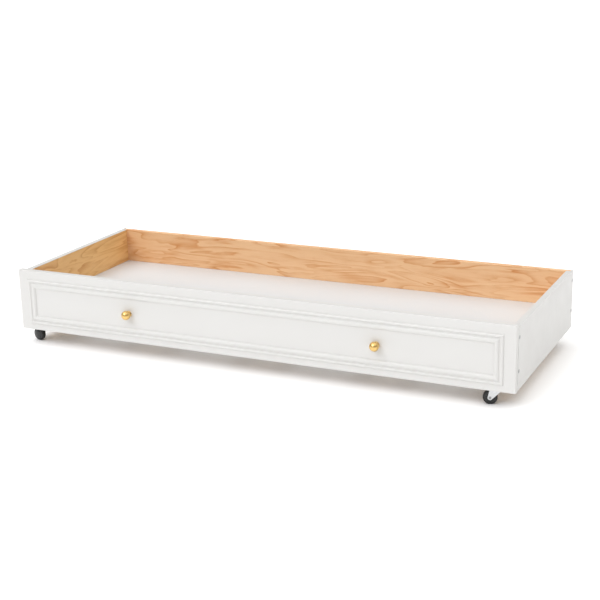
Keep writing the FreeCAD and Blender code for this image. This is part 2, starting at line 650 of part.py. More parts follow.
def make_rails():
    """The boards under the ledgers that the casters are screwed to, and their screws."""
    for side, sign in (("left", -1), ("right", 1)):
        body = make_block(f"{side}_caster_rail", "rail_width", RAIL_LENGTH, "rail_board",
                          f"{sign} * {KINGPIN_X}", BOX_FRONT_Y, "caster_height")
        under_ledger = f"{sign} * (rail_width - ledger_width) / 2"
        countersink(body, "screw_holes", "XY_Plane", rail_screw_places(under_ledger, BOX_FRONT_Y),
                    "wood_shank", "wood_head")
        pilots = [(f"{x} * plate_holes_long / 2", f"{centre} + {y} * plate_holes_wide / 2")
                  for centre in ("caster_setback", f"({RAIL_LENGTH} - caster_setback)")
                  for x in (-1, 1) for y in (-1, 1)]
        drill(body, "caster_pilots", "XY_Plane", pilots, "plate_screw", "plate_screw_length - plate_sheet")
    screws = countersunk_screw("rail_screws", "wood_head", "wood_shank", "wood_length")
    repeat(screws, "row", [("X_Axis", f"2 * ({BAY_HALF} - ledger_width / 2)", 2),
                           ("Y_Axis", RAIL_SCREW_PITCH, RAIL_SCREW_ROWS)])
    place(screws, f"-({BAY_HALF} - ledger_width / 2)", f"{BAY_BACK_Y} - rail_screw_end", "caster_height",
          FACING_DOWN)


# The casters: the local origin is on the kingpin, in the plate's top face, and z runs down to the floor.

CASTERS = [(end, side) for end in ("front", "rear") for side in ("left", "right")]
SIDE_SIGN = {"left": -1, "right": 1}
# How far each swivel stands turned about Z from trailing straight to the left, in degrees.
TURNS = {"front_left": -14, "front_right": 14, "rear_left": 0, "rear_right": 0}


def caster_place(end, side):
    """Where a caster's local origin stands."""
    return f"{SIDE_SIGN[side]} * {KINGPIN_X}", KINGPIN_Y[end], "caster_height"


def make_plate(prefix, where):
    """The pressed mounting plate and the swivel's upper cup."""
    plate = new_body(f"{prefix}_plate")
    sheet_outline = rectangle("-plate_length / 2", "-plate_width / 2", "plate_length / 2", "plate_width / 2")
    pad(plate, "sheet", "XY_Plane", sheet_outline, "plate_sheet", toward=-1)
    soften(plate, "corners", "Fillet", "plate_round", lambda box: at(box.XLength, 0) and at(box.YLength, 0))
    holes = [(f"{x} * plate_holes_long / 2", f"{y} * plate_holes_wide / 2")
             for x in (-1, 1) for y in (-1, 1)]
    drill(plate, "screw_holes", "XY_Plane", holes, "plate_screw + 2 * screw_clearance", toward=-1)
    drill(plate, "kingpin_hole", "XY_Plane", [("0", "0")], "kingpin_diameter", toward=-1)
    place(plate, *where)

    race = new_body(f"{prefix}_race")
    turn(race, "cup", [
        ("kingpin_diameter / 2", "-plate_sheet - race_height"),
        ("race_diameter / 2", "-plate_sheet - race_height"),
        ("race_diameter / 2", "-plate_sheet - race_height / 2"),
        ("race_diameter / 2 - race_height / 2", "-plate_sheet"), ("kingpin_diameter / 2", "-plate_sheet"),
    ])
    place(race, *where)


def make_kingpin(prefix, where):
    """The rivet that holds the arm's crown under the cup."""
    body = new_body(f"{prefix}_kingpin")
    shoulder = f"(-{CROWN_TOP} - arm_sheet - swivel_gap)"
    turn(body, "rivet", [
        ("0", f"{shoulder} - kingpin_head_height"),
        ("kingpin_head / 2 - kingpin_head_bevel", f"{shoulder} - kingpin_head_height"),
        ("kingpin_head / 2", f"{shoulder} - kingpin_head_height + kingpin_head_bevel"),
        ("kingpin_head / 2", shoulder),
        ("kingpin_diameter / 2", shoulder), ("kingpin_diameter / 2", "0"), ("0", "0"),
    ])
    place(body, *where)


def make_arm(prefix, where, hand):
    """The swivelling arm: a round crown and one leg down the side of the wheel named by hand."""
    body = new_body(f"{prefix}_arm")
    disc(body, "crown", "XY_Plane", ("0", "0"), "crown_diameter", "arm_sheet",
         toward=-1, offset=f"-{CROWN_TOP}")
    tangent = "arm_end * sqrt(0.5)"
    foot = (f"-caster_trail + {tangent}", f"-{AXLE_DROP} - {tangent}")
    leg = [
        ("-caster_trail - arm_end", f"-{AXLE_DROP}"), foot,
        ("arm_top / 2", f"{foot[1]} + arm_top / 2 - ({foot[0]})"), ("arm_top / 2", f"-{CROWN_TOP}"),
        ("-arm_top / 2", f"-{CROWN_TOP}"), ("-caster_trail - arm_lean", "-arm_shoulder"),
    ]
    inside = f"{hand} * {ARM_INSIDE}"
    pad(body, "leg", "XZ_Plane", leg, "arm_sheet", toward=hand, offset=inside)
    axle = ("-caster_trail", f"-{AXLE_DROP}")
    disc(body, "end", "XZ_Plane", axle, "2 * arm_end", "arm_sheet", toward=hand, offset=inside)
    drill(body, "axle_hole", "XZ_Plane", [axle], "axle_diameter", "arm_sheet", toward=hand, offset=inside)
    drill(body, "kingpin_hole", "XY_Plane", [("0", "0")], "kingpin_diameter + 2 * running_gap",
          "arm_sheet", toward=-1, offset=f"-{CROWN_TOP}")
    place(body, *where, Rotation(ABOUT_Z, TURNS[prefix]))


def make_wheel(prefix, where, hand):
    """The axle, the hub and the tyre: local z = 0 is the wheel's middle, and the arm is on its minus side."""
    across, along, up = where
    swivel = TURNS[prefix]
    centre = (f"{across} - caster_trail * cos({swivel} deg)", f"{along} - caster_trail * sin({swivel} deg)",
              f"{up} - {AXLE_DROP}")
    rotation = Rotation(ABOUT_Z, swivel) * (FACING_FRONT if hand > 0 else FACING_BACK)
    inner = "(-wheel_width / 2)"
    arm_outside = f"(-{ARM_INSIDE} - arm_sheet)"
    end = f"({inner} + axle_depth)"
    axle = new_body(f"{prefix}_axle")
    head_bow = "((axle_head / 2)^2 + axle_head_height^2) / (2 * axle_head_height)"
    turn(axle, "rivet", [
        ("0", f"{arm_outside} - axle_head_height", head_bow), ("axle_head / 2", arm_outside),
        ("axle_diameter / 2", arm_outside), ("axle_diameter / 2", f"{end} - swivel_gap"),
        ("0", f"{end} - swivel_gap"),
    ])
    place(axle, *centre, rotation)

    hub = new_body(f"{prefix}_wheel_hub")
    bore = "(axle_diameter / 2 + running_gap)"
    dome = f"({HUB_RADIUS}^2 + hub_dome^2) / (2 * hub_dome)"
    turn(hub, "hub", [
        (bore, inner), (HUB_RADIUS, inner), (HUB_RADIUS, "wheel_width / 2", dome),
        ("0", "wheel_width / 2 + hub_dome"), ("0", end), (bore, end),
    ])
    place(hub, *centre, rotation)

    tyre = new_body(f"{prefix}_tyre")
    turn(tyre, "ring", rectangle(HUB_RADIUS, inner, "wheel_diameter / 2", "wheel_width / 2"))
    wide = number("wheel_diameter")
    soften(tyre, "edges", "Fillet", "tyre_round", lambda box: at(box.XLength, wide) and at(box.ZLength, 0))
    place(tyre, *centre, rotation)


def make_casters():
    """Four casters that trail to the left: left-handed ones on the left and right-handed on the right."""
    for end, side in CASTERS:
        prefix = f"{end}_{side}"
        where = caster_place(end, side)
        hand = -SIDE_SIGN[side]
        make_plate(prefix, where)
        make_kingpin(prefix, where)
        make_arm(prefix, where, hand)
        make_wheel(prefix, where, hand)
    screws = pan_screw("caster_screws", "plate_screw_head", "plate_screw", "plate_screw_length")
    repeat(screws, "row", [("X_Axis", "plate_holes_long", 2), ("Y_Axis", "plate_holes_wide", 2),
                           ("X_Axis", f"2 * {KINGPIN_X}", 2), ("Y_Axis", KINGPIN_SPAN, 2)])
    place(screws, f"-{KINGPIN_X} - plate_holes_long / 2", f"{KINGPIN_Y['rear']} + plate_holes_wide / 2",
          "caster_height - plate_sheet", FACING_DOWN)


def check_and_export():
    """Stop on any failed object or bad shape, then write one file for each body."""
    failed = [thing.Label for thing in doc.Objects if {"Invalid", "Error"} & set(thing.State)]
    if failed:
        raise RuntimeError(f"failed objects: {failed}")
    os.makedirs("parts", exist_ok=True)
    bodies = [thing for thing in doc.Objects if thing.TypeId == "PartDesign::Body"]
    for body in bodies:
        if body.Shape.isNull() or not body.Shape.isValid():
            raise RuntimeError(f"{body.Label} has no valid shape")
    for body in bodies:
        body.Shape.exportStep(f"parts/{body.Label}.step")
    print(len(bodies), "nodes written")


make_front_panel()
make_mouldings()
make_knob("left", -1)
make_knob("right", 1)
make_front_screws()
make_box_front()
make_side("left", -1)
make_side("right", 1)
make_back_panel()
make_corner_screws()
make_deck()
make_ledgers()
make_bearers()
make_rails()
make_casters()
doc.recompute()
check_and_export()
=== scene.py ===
"""The looks of a trundle bed: a white tray with oak inside, brass ball knobs and swivel casters.

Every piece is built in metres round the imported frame, and rides on one of its bodies.
"""

from __future__ import annotations

import logging
import math
from collections.abc import Callable, Iterable, Sequence
from dataclasses import dataclass, field
from enum import Enum, IntEnum

import bmesh
import bpy
from mathutils import Matrix, Vector

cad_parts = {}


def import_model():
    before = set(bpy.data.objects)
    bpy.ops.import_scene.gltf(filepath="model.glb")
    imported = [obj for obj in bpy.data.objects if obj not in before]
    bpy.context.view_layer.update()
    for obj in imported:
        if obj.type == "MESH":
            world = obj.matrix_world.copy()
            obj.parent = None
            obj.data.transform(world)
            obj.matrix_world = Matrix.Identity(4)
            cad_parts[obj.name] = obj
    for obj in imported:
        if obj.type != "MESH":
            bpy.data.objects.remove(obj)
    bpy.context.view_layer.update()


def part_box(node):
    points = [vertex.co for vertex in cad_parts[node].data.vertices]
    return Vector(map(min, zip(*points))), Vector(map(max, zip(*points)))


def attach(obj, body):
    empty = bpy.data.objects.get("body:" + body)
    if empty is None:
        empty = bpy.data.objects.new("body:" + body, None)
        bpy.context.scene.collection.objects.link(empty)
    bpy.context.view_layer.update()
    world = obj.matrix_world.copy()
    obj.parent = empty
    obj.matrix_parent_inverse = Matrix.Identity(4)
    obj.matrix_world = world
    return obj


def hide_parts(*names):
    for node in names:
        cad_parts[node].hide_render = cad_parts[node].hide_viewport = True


log = logging.getLogger("trundle_bed")

MM = 0.001
NEAR = 0.02 * MM     # how close counts as the same place
TRAY = "tray"        # the body that everything but the casters' moving parts rides on

Colour = tuple[float, float, float]
Point = tuple[float, float]
Chooser = Callable[[bmesh.types.BMEdge], bool]


class Axis(IntEnum):
    """A coordinate axis, which is also its place in a vector."""

    X = 0
    Y = 1
    Z = 2

    @property
    def unit(self) -> Vector:
        """The unit vector along the axis."""
        return Vector([float(self == axis) for axis in Axis])


class Side(Enum):
    """One end of the bed and its sign along X."""

    LEFT = -1
    RIGHT = 1

    @property
    def word(self) -> str:
        """The side's name as the nodes have it."""
        return self.name.lower()


class Head(Enum):
    """The shape of a screw's head."""

    COUNTERSUNK = "countersunk"
    PAN = "pan"


# Node trees


class NodeWriter:
    """Writes a node tree, each node fed by values or by other nodes' sockets."""

    def __init__(self, tree: bpy.types.NodeTree) -> None:
        """Start on an empty tree.

        Args:
            tree: The tree to write in.
        """
        self.tree = tree

    def feed(self, socket: bpy.types.NodeSocket, value: object) -> None:
        """Link a socket, or several, into another, or set its value.

        Args:
            socket: The input to feed.
            value: A socket, a list of sockets or a plain value.
        """
        if isinstance(value, list) and isinstance(value[0], bpy.types.NodeSocket):
            for single in value:
                self.tree.links.new(single, socket)
        elif isinstance(value, bpy.types.NodeSocket):
            self.tree.links.new(value, socket)
        else:
            socket.default_value = value

    def node(self, kind: str, feeds: dict[str | int, object] | None = None,
             **settings: object) -> bpy.types.Node:
        """Add a node.

        Args:
            kind: The node's type name.
            feeds: What goes into its inputs, by name or number.
            **settings: The node's own properties.

        Returns:
            The new node.
        """
        made = self.tree.nodes.new(kind)
        made.location = (220.0 * len(self.tree.nodes), 0.0)
        for name, value in settings.items():
            setattr(made, name, value)
        for name, value in (feeds or {}).items():
            self.feed(made.inputs[name], value)
        return made

    def math(self, operation: str, first: object, second: object = 0.0) -> bpy.types.NodeSocket:
        """A Math node's result.

        Args:
            operation: The node's operation, such as "ADD".
            first: Its first input.
            second: Its second input, where it has one.

        Returns:
            The output socket.
        """
        return self.node("ShaderNodeMath", {0: first, 1: second}, operation=operation).outputs[0]


class ShaderWriter(NodeWriter):
    """Writes a material's nodes."""

    def place(self, scale: Sequence[float], shift: Sequence[float] = (0.0, 0.0, 0.0)) -> bpy.types.NodeSocket:
        """Object coordinates in metres, scaled along each axis.

        Args:
            scale: The scale along X, Y and Z.
            shift: What is added after scaling.

        Returns:
            The coordinates' socket.
        """
        source = self.node("ShaderNodeTexCoord").outputs["Object"]
        mapping = self.node("ShaderNodeMapping", {"Vector": source, "Scale": scale, "Location": shift})
        return mapping.outputs["Vector"]

    def noise(self, where: bpy.types.NodeSocket, scale: float, detail: float = 2.0, roughness: float = 0.5,
              warp: float = 0.0) -> bpy.types.NodeSocket:
        """Fractal noise from 0 to 1.

        Args:
            where: The coordinates.
            scale: Cycles for each unit of them.
            detail: Octaves.
            roughness: How strong the finer octaves are.
            warp: How far the noise displaces itself.

        Returns:
            The factor's socket.
        """
        feeds = {"Vector": where, "Scale": scale, "Detail": detail, "Roughness": roughness,
                 "Distortion": warp}
        return self.node("ShaderNodeTexNoise", feeds).outputs[0]

    def remap(self, value: bpy.types.NodeSocket, old: Point, new: Point) -> bpy.types.NodeSocket:
        """A value moved from one range to another, and kept in it.

        Args:
            value: What to move.
            old: The range that it comes in.
            new: The range that it leaves in.

        Returns:
            The result's socket.
        """
        feeds = dict(enumerate((value, *old, *new)))
        return self.node("ShaderNodeMapRange", feeds).outputs[0]

    def blend(self, factor: object, first: object, second: object, mode: str = "MIX") -> bpy.types.NodeSocket:
        """Two colours mixed.

        Args:
            factor: How much of the second.
            first: A colour or its socket.
            second: A colour or its socket.
            mode: The Mix node's blend type.

        Returns:
            The colour's socket.
        """
        made = self.node("ShaderNodeMix", data_type="RGBA", blend_type=mode)
        for index, value in ((0, factor), (6, first), (7, second)):
            self.feed(made.inputs[index], (*value, 1.0) if isinstance(value, tuple) else value)
        return made.outputs[2]

    def bump(self, height: bpy.types.NodeSocket, depth: float, over: object = None) -> bpy.types.NodeSocket:
        """A bumped normal.

        Args:
            height: The height from 0 to 1.
            depth: What a height of 1 stands for, in metres.
            over: The normal below it, if there is one.

        Returns:
            The normal's socket.
        """
        feeds = {"Height": height, "Distance": depth}
        if over is not None:
            feeds["Normal"] = over
        return self.node("ShaderNodeBump", feeds).outputs[0]


# Finishes


@dataclass(frozen=True)
class Finish:
    """A surface finish that builds one material."""

    name: str
    colour: Colour
    roughness: float

    def build(self) -> bpy.types.Material:
        """Make the material.

        Returns:
            The finished material.
        """
        material = bpy.data.materials.new(self.name)
        material.use_nodes = True
        material.node_tree.nodes.clear()
        write = ShaderWriter(material.node_tree)
        shader = write.node("ShaderNodeBsdfPrincipled")
        write.node("ShaderNodeOutputMaterial", {"Surface": shader.outputs[0]})
        material.diffuse_color = (*self.colour, 1.0)
        self.paint(write, shader)
        return material

    def paint(self, write: ShaderWriter, shader: bpy.types.Node) -> None:
        """Feed the shader.

        Args:
            write: The material's writer.
            shader: Its Principled node.
        """
        raise NotImplementedError

    def shade(self, factor: float) -> Colour:
        """The finish's colour made darker or lighter."""
        return tuple(channel * factor for channel in self.colour)


@dataclass(frozen=True)
class Lacquer(Finish):
    """Sprayed satin paint: faint clouding, soft orange peel and a little dirt in the tone."""

    tint: Colour = (1.0, 1.0, 1.0)
    peel: float = 0.012 * MM

    def paint(self, write: ShaderWriter, shader: bpy.types.Node) -> None:
        """Feed the shader with clouded white and a fine orange peel."""
        where = write.place((1.0, 1.0, 1.0))
        clouds = write.remap(write.noise(where, 3.1, 3.0), (0.3, 0.7), (0.0, 1.0))
        darker = tuple(channel * tone for channel, tone in zip(self.shade(0.980), self.tint))
        write.feed(shader.inputs["Base Color"], write.blend(clouds, self.colour, darker))
        gloss = write.noise(where, 23.0, 2.0)
        low, high = self.roughness - 0.05, self.roughness + 0.06
        write.feed(shader.inputs["Roughness"], write.remap(gloss, (0.3, 0.7), (low, high)))
        peel = write.noise(where, 240.0, 2.0)
        write.feed(shader.inputs["Normal"], write.bump(peel, self.peel))


@dataclass(frozen=True)
class Timber(Finish):
    """Cut wood: contour lines of a stretched field, as peeled veneer shows, with fibres and pores."""

    grain: Axis = Axis.X
    line: Colour = (0.6, 0.3, 0.1)    # the late wood's colour
    wash: Colour = (0.9, 0.6, 0.4)    # what drifts over it in wide patches
    stretch: float = 6.5              # how many times longer than high the figure is
    figure: float = 17.0              # its size: cycles a metre across the grain
    rings: float = 7.5                # contour lines over the whole range of the field
    seed: float = 0.0
    fibre: float = 0.035 * MM
    line_strength: float = 0.95
    flame: float = 0.55               # how strong the short streaks between the lines are

    def stretched(self, write: ShaderWriter, across: float, stretch: float,
                  shift: float) -> bpy.types.NodeSocket:
        """Coordinates that are long along the grain.

        Args:
            write: The material's writer.
            across: Cycles a metre across the grain.
            stretch: How many times fewer there are along it.
            shift: Where in the noise to start.

        Returns:
            The coordinates' socket.
        """
        scale = [across / stretch if axis == self.grain else across for axis in Axis]
        return write.place(scale, (self.seed + shift, self.seed * 1.7 + shift, self.seed * 0.6))

    def paint(self, write: ShaderWriter, shader: bpy.types.Node) -> None:
        """Feed the shader with growth rings, flames, fibres, pores and wide patches."""
        plan = self.stretched(write, self.figure, self.stretch, 0.0)
        field_height = write.noise(plan, 1.0, 2.6, 0.42, 0.55)
        phase = write.math("FRACT", write.math("MULTIPLY", field_height, self.rings))
        rise = write.math("POWER", write.remap(phase, (0.18, 0.93), (0.0, 1.0)), 2.2)
        fall = write.remap(phase, (0.93, 1.0), (1.0, 0.0))
        ring = write.math("MULTIPLY", rise, fall)
        patches = write.noise(self.stretched(write, 17.0, 3.0, 3.0), 1.0, 2.0)
        patchy = write.remap(patches, (0.36, 0.62), (0.22, 1.0))
        fibres = write.noise(self.stretched(write, 900.0, 42.0, 5.0), 1.0, 2.0, 0.6)
        pits = write.noise(self.stretched(write, 1500.0, 30.0, 9.0), 1.0, 1.0)
        pores = write.remap(pits, (0.62, 0.74), (0.0, 1.0))
        drift = write.noise(self.stretched(write, 5.0, 2.4, 7.0), 1.0, 2.0)
        wide = write.remap(drift, (0.35, 0.65), (0.0, 0.55))
        amount = write.math("MULTIPLY", write.math("MULTIPLY", ring, patchy), self.line_strength)
        tone = write.blend(wide, self.colour, self.wash)
        tone = write.blend(amount, tone, self.line)
        wander = write.noise(self.stretched(write, 52.0, 9.0, 13.0), 1.0, 3.0, 0.55, 0.35)
        flames = write.math("MULTIPLY", write.remap(wander, (0.53, 0.68), (0.0, 1.0)), self.flame)
        tone = write.blend(write.math("MULTIPLY", flames, patchy), tone, self.line)
        streak = write.remap(fibres, (0.3, 0.7), (0.0, 0.16))
        tone = write.blend(streak, tone, self.line)
        speck = write.math("MULTIPLY", pores, write.remap(ring, (0.0, 0.8), (0.10, 0.38)))
        tone = write.blend(speck, tone, tuple(channel * 0.62 for channel in self.line))
        write.feed(shader.inputs["Base Color"], tone)
        rough = write.remap(fibres, (0.3, 0.7), (self.roughness - 0.06, self.roughness + 0.08))
        write.feed(shader.inputs["Roughness"], rough)
        height = write.math("SUBTRACT", fibres, write.math("MULTIPLY", pores, 0.5))
        write.feed(shader.inputs["Normal"], write.bump(height, self.fibre))


@dataclass(frozen=True)
class Metal(Finish):
    """Plated or solid metal: cloudy tone, fine directional lines and small dents."""

    lines: Axis = Axis.X
    line_scale: float = 1400.0
    grain_size: float = 160.0
    contrast: float = 0.16

    def paint(self, write: ShaderWriter, shader: bpy.types.Node) -> None:
        """Feed the shader with crystals of slightly different tone and fine lines."""
        shader.inputs["Metallic"].default_value = 1.0
        where = write.place((1.0, 1.0, 1.0))
        crystals = write.node("ShaderNodeTexVoronoi", {"Vector": where, "Scale": self.grain_size})
        grey = write.node("ShaderNodeSeparateColor", {0: crystals.outputs["Color"]}).outputs[0]
        clouds = write.noise(where, self.grain_size * 0.4, 3.0)
        mixed = write.math("MULTIPLY", write.math("ADD", grey, clouds), 0.5)
        tone = write.blend(mixed, self.shade(1.0 - self.contrast), self.shade(1.0 + self.contrast / 2))
        write.feed(shader.inputs["Base Color"], tone)
        scale = [self.line_scale if axis == self.lines else self.line_scale / 45.0 for axis in Axis]
        lines = write.noise(write.place(scale), 1.0, 2.0, 0.6)
        spread = write.math("ADD", write.math("MULTIPLY", lines, 0.5), write.math("MULTIPLY", clouds, 0.5))
        rough = write.remap(spread, (0.3, 0.7), (self.roughness - 0.07, self.roughness + 0.09))
        write.feed(shader.inputs["Roughness"], rough)
        write.feed(shader.inputs["Normal"], write.bump(lines, 0.004 * MM))


@dataclass(frozen=True)
class Moulded(Finish):
    """Moulded plastic or rubber: a fine sparked grain and dust in the tone."""

    grain_size: float = 900.0
    grain_depth: float = 0.03 * MM
    dust: float = 1.8

    def paint(self, write: ShaderWriter, shader: bpy.types.Node) -> None:
        """Feed the shader with dusty black and a moulded grain."""
        where = write.place((1.0, 1.0, 1.0))
        dust = write.remap(write.noise(where, 85.0, 4.0, 0.62), (0.42, 0.72), (0.0, 1.0))
        write.feed(shader.inputs["Base Color"], write.blend(dust, self.colour, self.shade(self.dust)))
        rough = write.remap(dust, (0.0, 1.0), (self.roughness - 0.04, self.roughness + 0.12))
        write.feed(shader.inputs["Roughness"], rough)
        grain = write.noise(where, self.grain_size, 2.0, 0.6)
        write.feed(shader.inputs["Normal"], write.bump(grain, self.grain_depth))


OAK = {"colour": (0.885, 0.580, 0.328), "line": (0.640, 0.265, 0.078), "wash": (0.820, 0.505, 0.265)}
# The side boards' oak is OAK painted brighter and more saturated: painted light for the inner side faces,
# which get less light.
SIDE_OAK_WITH_PAINTED_LIGHT = {"colour": (0.950, 0.610, 0.262), "line": (0.650, 0.300, 0.085), "wash": (0.860, 0.515, 0.210)}
PINE = {"colour": (0.700, 0.520, 0.320), "line": (0.520, 0.310, 0.140), "wash": (0.660, 0.470, 0.270),
        "stretch": 26.0, "figure": 26.0, "rings": 7.0, "line_strength": 0.55}


@dataclass
class Palette:
    """Every material of the bed, each built once."""

    white: bpy.types.Material = field(init=False)
    deck: bpy.types.Material = field(init=False)
    oak_long: bpy.types.Material = field(init=False)
    oak_left: bpy.types.Material = field(init=False)
    oak_right: bpy.types.Material = field(init=False)
    pine_long: bpy.types.Material = field(init=False)
    pine_deep: bpy.types.Material = field(init=False)
    brass: bpy.types.Material = field(init=False)
    zinc: bpy.types.Material = field(init=False)
    steel: bpy.types.Material = field(init=False)
    nylon: bpy.types.Material = field(init=False)
    rubber: bpy.types.Material = field(init=False)

    def __post_init__(self) -> None:
        """Build the materials."""
        self.white = Lacquer("white_lacquer", (0.703, 0.695, 0.676), 0.36, tint=(1.0, 0.998, 0.994)).build()
        self.deck = Lacquer("deck_white", (0.684, 0.696, 0.703), 0.48, tint=(1.0, 0.992, 0.985)).build()
        self.oak_long = Timber("oak_along_the_bed", roughness=0.47, grain=Axis.X, seed=4.3, **OAK).build()
        # The side faces' oak carries painted light: it is brighter than the back's.
        self.oak_left = Timber("oak_left", roughness=0.47, grain=Axis.Y, seed=11.9, **SIDE_OAK_WITH_PAINTED_LIGHT).build()
        self.oak_right = Timber("oak_right", roughness=0.47, grain=Axis.Y, seed=27.2, **SIDE_OAK_WITH_PAINTED_LIGHT).build()
        self.pine_long = Timber("pine_along_the_bed", roughness=0.6, grain=Axis.X, seed=3.7, **PINE).build()
        self.pine_deep = Timber("pine_across_the_bed", roughness=0.6, grain=Axis.Y, seed=8.1, **PINE).build()
        self.brass = Metal("brass", (0.800, 0.540, 0.200), 0.30, lines=Axis.Y, contrast=0.10).build()
        self.zinc = Metal("zinc_plate", (0.740, 0.752, 0.760), 0.42, grain_size=240.0).build()
        self.steel = Metal("screw_steel", (0.400, 0.400, 0.405), 0.36, line_scale=2200.0).build()
        self.nylon = Moulded("wheel_black", (0.012, 0.012, 0.012), 0.30, grain_depth=0.012 * MM).build()
        self.rubber = Moulded("tyre_black", (0.009, 0.009, 0.009), 0.50, dust=2.2).build()


# Meshes


def arc(centre: Point, radius: float, start: float, end: float, steps: int) -> list[Point]:
    """Points along an arc.

    Args:
        centre: Its centre.
        radius: Its radius.
        start: The angle that it starts at, in degrees.
        end: The angle that it ends at.
        steps: How many chords it has.

    Returns:
        The points, both ends among them.
    """
    angles = [math.radians(start + (end - start) * step / steps) for step in range(steps + 1)]
    return [(centre[0] + radius * math.cos(angle), centre[1] + radius * math.sin(angle)) for angle in angles]


def ridge(start: float, width: float, low: float, rise: float, steps: int) -> list[Point]:
    """A round ridge between two places at one level.

    Args:
        start: Where it starts.
        width: How wide it is.
        low: The level of its ends.
        rise: The level of its crest.
        steps: How many chords it has.

    Returns:
        The points (place, level), both ends among them.
    """
    proud = rise - low
    radius = (width * width / 4 + proud * proud) / (2 * proud)
    half = math.degrees(math.asin(width / 2 / radius))
    return arc((start + width / 2, rise - radius), radius, 90 + half, 90 - half, steps)


def rounded_rectangle(low: Point, high: Point, radius: float, steps: int = 6) -> list[Point]:
    """A rectangle with round corners, anticlockwise."""
    corners = (((high[0] - radius, low[1] + radius), -90), ((high[0] - radius, high[1] - radius), 0),
               ((low[0] + radius, high[1] - radius), 90), ((low[0] + radius, low[1] + radius), 180))
    return [point for centre, start in corners for point in arc(centre, radius, start, start + 90, steps)]


def prism(outline: Sequence[Point], axis: Axis, low: float, high: float) -> bmesh.types.BMesh:
    """A closed prism.

    Args:
        outline: Its section, as (next axis, the one after) in the order X, Y, Z, X, Y.
        axis: The axis that it runs along.
        low: Where it starts.
        high: Where it ends.

    Returns:
        The mesh.
    """
    mesh = bmesh.new()
    rings = []
    for level in (low, high):
        ring = []
        for first, second in outline:
            place = [0.0, 0.0, 0.0]
            place[axis] = level
            place[(axis + 1) % 3] = first
            place[(axis + 2) % 3] = second
            ring.append(mesh.verts.new(place))
        rings.append(ring)
    bottom, top = rings
    mesh.faces.new(bottom[::-1])
    mesh.faces.new(top)
    for index in range(len(outline)):
        after = (index + 1) % len(outline)
        mesh.faces.new((bottom[index], bottom[after], top[after], top[index]))
    bmesh.ops.recalc_face_normals(mesh, faces=mesh.faces)
    return mesh


def block(low: Vector, high: Vector) -> bmesh.types.BMesh:
    """A rectangular board between two corners."""
    outline = [(low.x, low.y), (high.x, low.y), (high.x, high.y), (low.x, high.y)]
    return prism(outline, Axis.Z, low.z, high.z)


def lathe(profile: Sequence[Point], centre: Vector, along: Vector, steps: int = 48,
          ring: bool = False) -> bmesh.types.BMesh:
    """A turned piece.

    Args:
        profile: Its half section, as (radius, place along the axis).
        centre: Where the axis starts.
        along: The axis's direction.
        steps: How many sides it has.
        ring: Whether the section closes on itself, as a tyre's does.

    Returns:
        The closed mesh.
    """
    mesh = bmesh.new()
    turned = along.to_track_quat("Z", "Y")
    angles = [math.tau * step / steps for step in range(steps)]
    spokes = [Vector((math.cos(angle), math.sin(angle), 0)) for angle in angles]
    loops = []
    for radius, place in profile:
        if radius < NEAR:
            loops.append([mesh.verts.new(centre + along * place)] * steps)
            continue
        loops.append([mesh.verts.new(centre + along * place + turned @ (spoke * radius)) for spoke in spokes])
    if ring:
        loops.append(loops[0])
    for first, second in zip(loops, loops[1:]):
        for step in range(steps):
            after = (step + 1) % steps
            corners = list(dict.fromkeys((first[step], first[after], second[after], second[step])))
            if len(corners) > 2:
                mesh.faces.new(corners)
    if not ring:
        for loop, flip in ((loops[0], True), (loops[-1], False)):
            if loop[0] is not loop[1]:
                mesh.faces.new(loop[::-1] if flip else loop)
    bmesh.ops.recalc_face_normals(mesh, faces=mesh.faces)
    return mesh


def ends_at(axis: Axis, level: float) -> Chooser:
    """Chooses the edges that lie wholly at one level of an axis."""
    return lambda edge: all(abs(vertex.co[axis] - level) < NEAR for vertex in edge.verts)


def both(*choosers: Chooser) -> Chooser:
    """Chooses the edges that every chooser takes."""
    return lambda edge: all(chooser(edge) for chooser in choosers)


def ease(mesh: bmesh.types.BMesh, width: float, chosen: Chooser | None = None, steps: int = 3) -> None:
    """Round edges, in place.

    Args:
        mesh: The mesh.
        width: How far the rounding reaches over each face.
        chosen: Which edges; all the sharp ones if left out.
        steps: How many faces it has; 1 makes a bevel.
    """
    chosen = chosen or (lambda edge: edge.calc_face_angle(0.0) > math.radians(30))
    edges = [edge for edge in mesh.edges if chosen(edge)]
    bmesh.ops.bevel(mesh, geom=edges, offset=width, offset_type="OFFSET", segments=steps, profile=0.5,
                    affect="EDGES", clamp_overlap=True)


def mesh_of(shape: bmesh.types.BMesh, name: str) -> bpy.types.Mesh:
    """A plain mesh made of a bmesh, which is freed."""
    made = bpy.data.meshes.new(name)
    shape.to_mesh(made)
    shape.free()
    return made


def scratch_object(name: str, mesh: bpy.types.Mesh) -> bpy.types.Object:
    """An object in the scene that holds a mesh."""
    made = bpy.data.objects.new(name, mesh)
    bpy.context.scene.collection.objects.link(made)
    return made


def settle(made: bpy.types.Object) -> None:
    """Turn an object's modifiers into its mesh, in place."""
    if not made.modifiers:
        return
    bpy.context.view_layer.update()
    graph = bpy.context.evaluated_depsgraph_get()
    result = bpy.data.meshes.new_from_object(made.evaluated_get(graph), preserve_all_data_layers=True,
                                             depsgraph=graph)
    made.modifiers.clear()
    spent = made.data
    made.data = result
    result.name = made.name
    bpy.data.meshes.remove(spent)


def combine(made: bpy.types.Object, others: Iterable[bmesh.types.BMesh], operation: str) -> None:
    """Add shapes to an object or cut them out of it.

    Args:
        made: The object that is changed.
        others: The shapes, which are used up.
        operation: "UNION" or "DIFFERENCE".
    """
    tools = [scratch_object(f"{made.name}_tool", mesh_of(other, "tool")) for other in others]
    for tool in tools:
        modifier = made.modifiers.new(operation, "BOOLEAN")
        modifier.operation = operation
        modifier.solver = "EXACT"
        modifier.object = tool
    settle(made)
    for tool in tools:
        spent = tool.data
        bpy.data.objects.remove(tool)
        bpy.data.meshes.remove(spent)


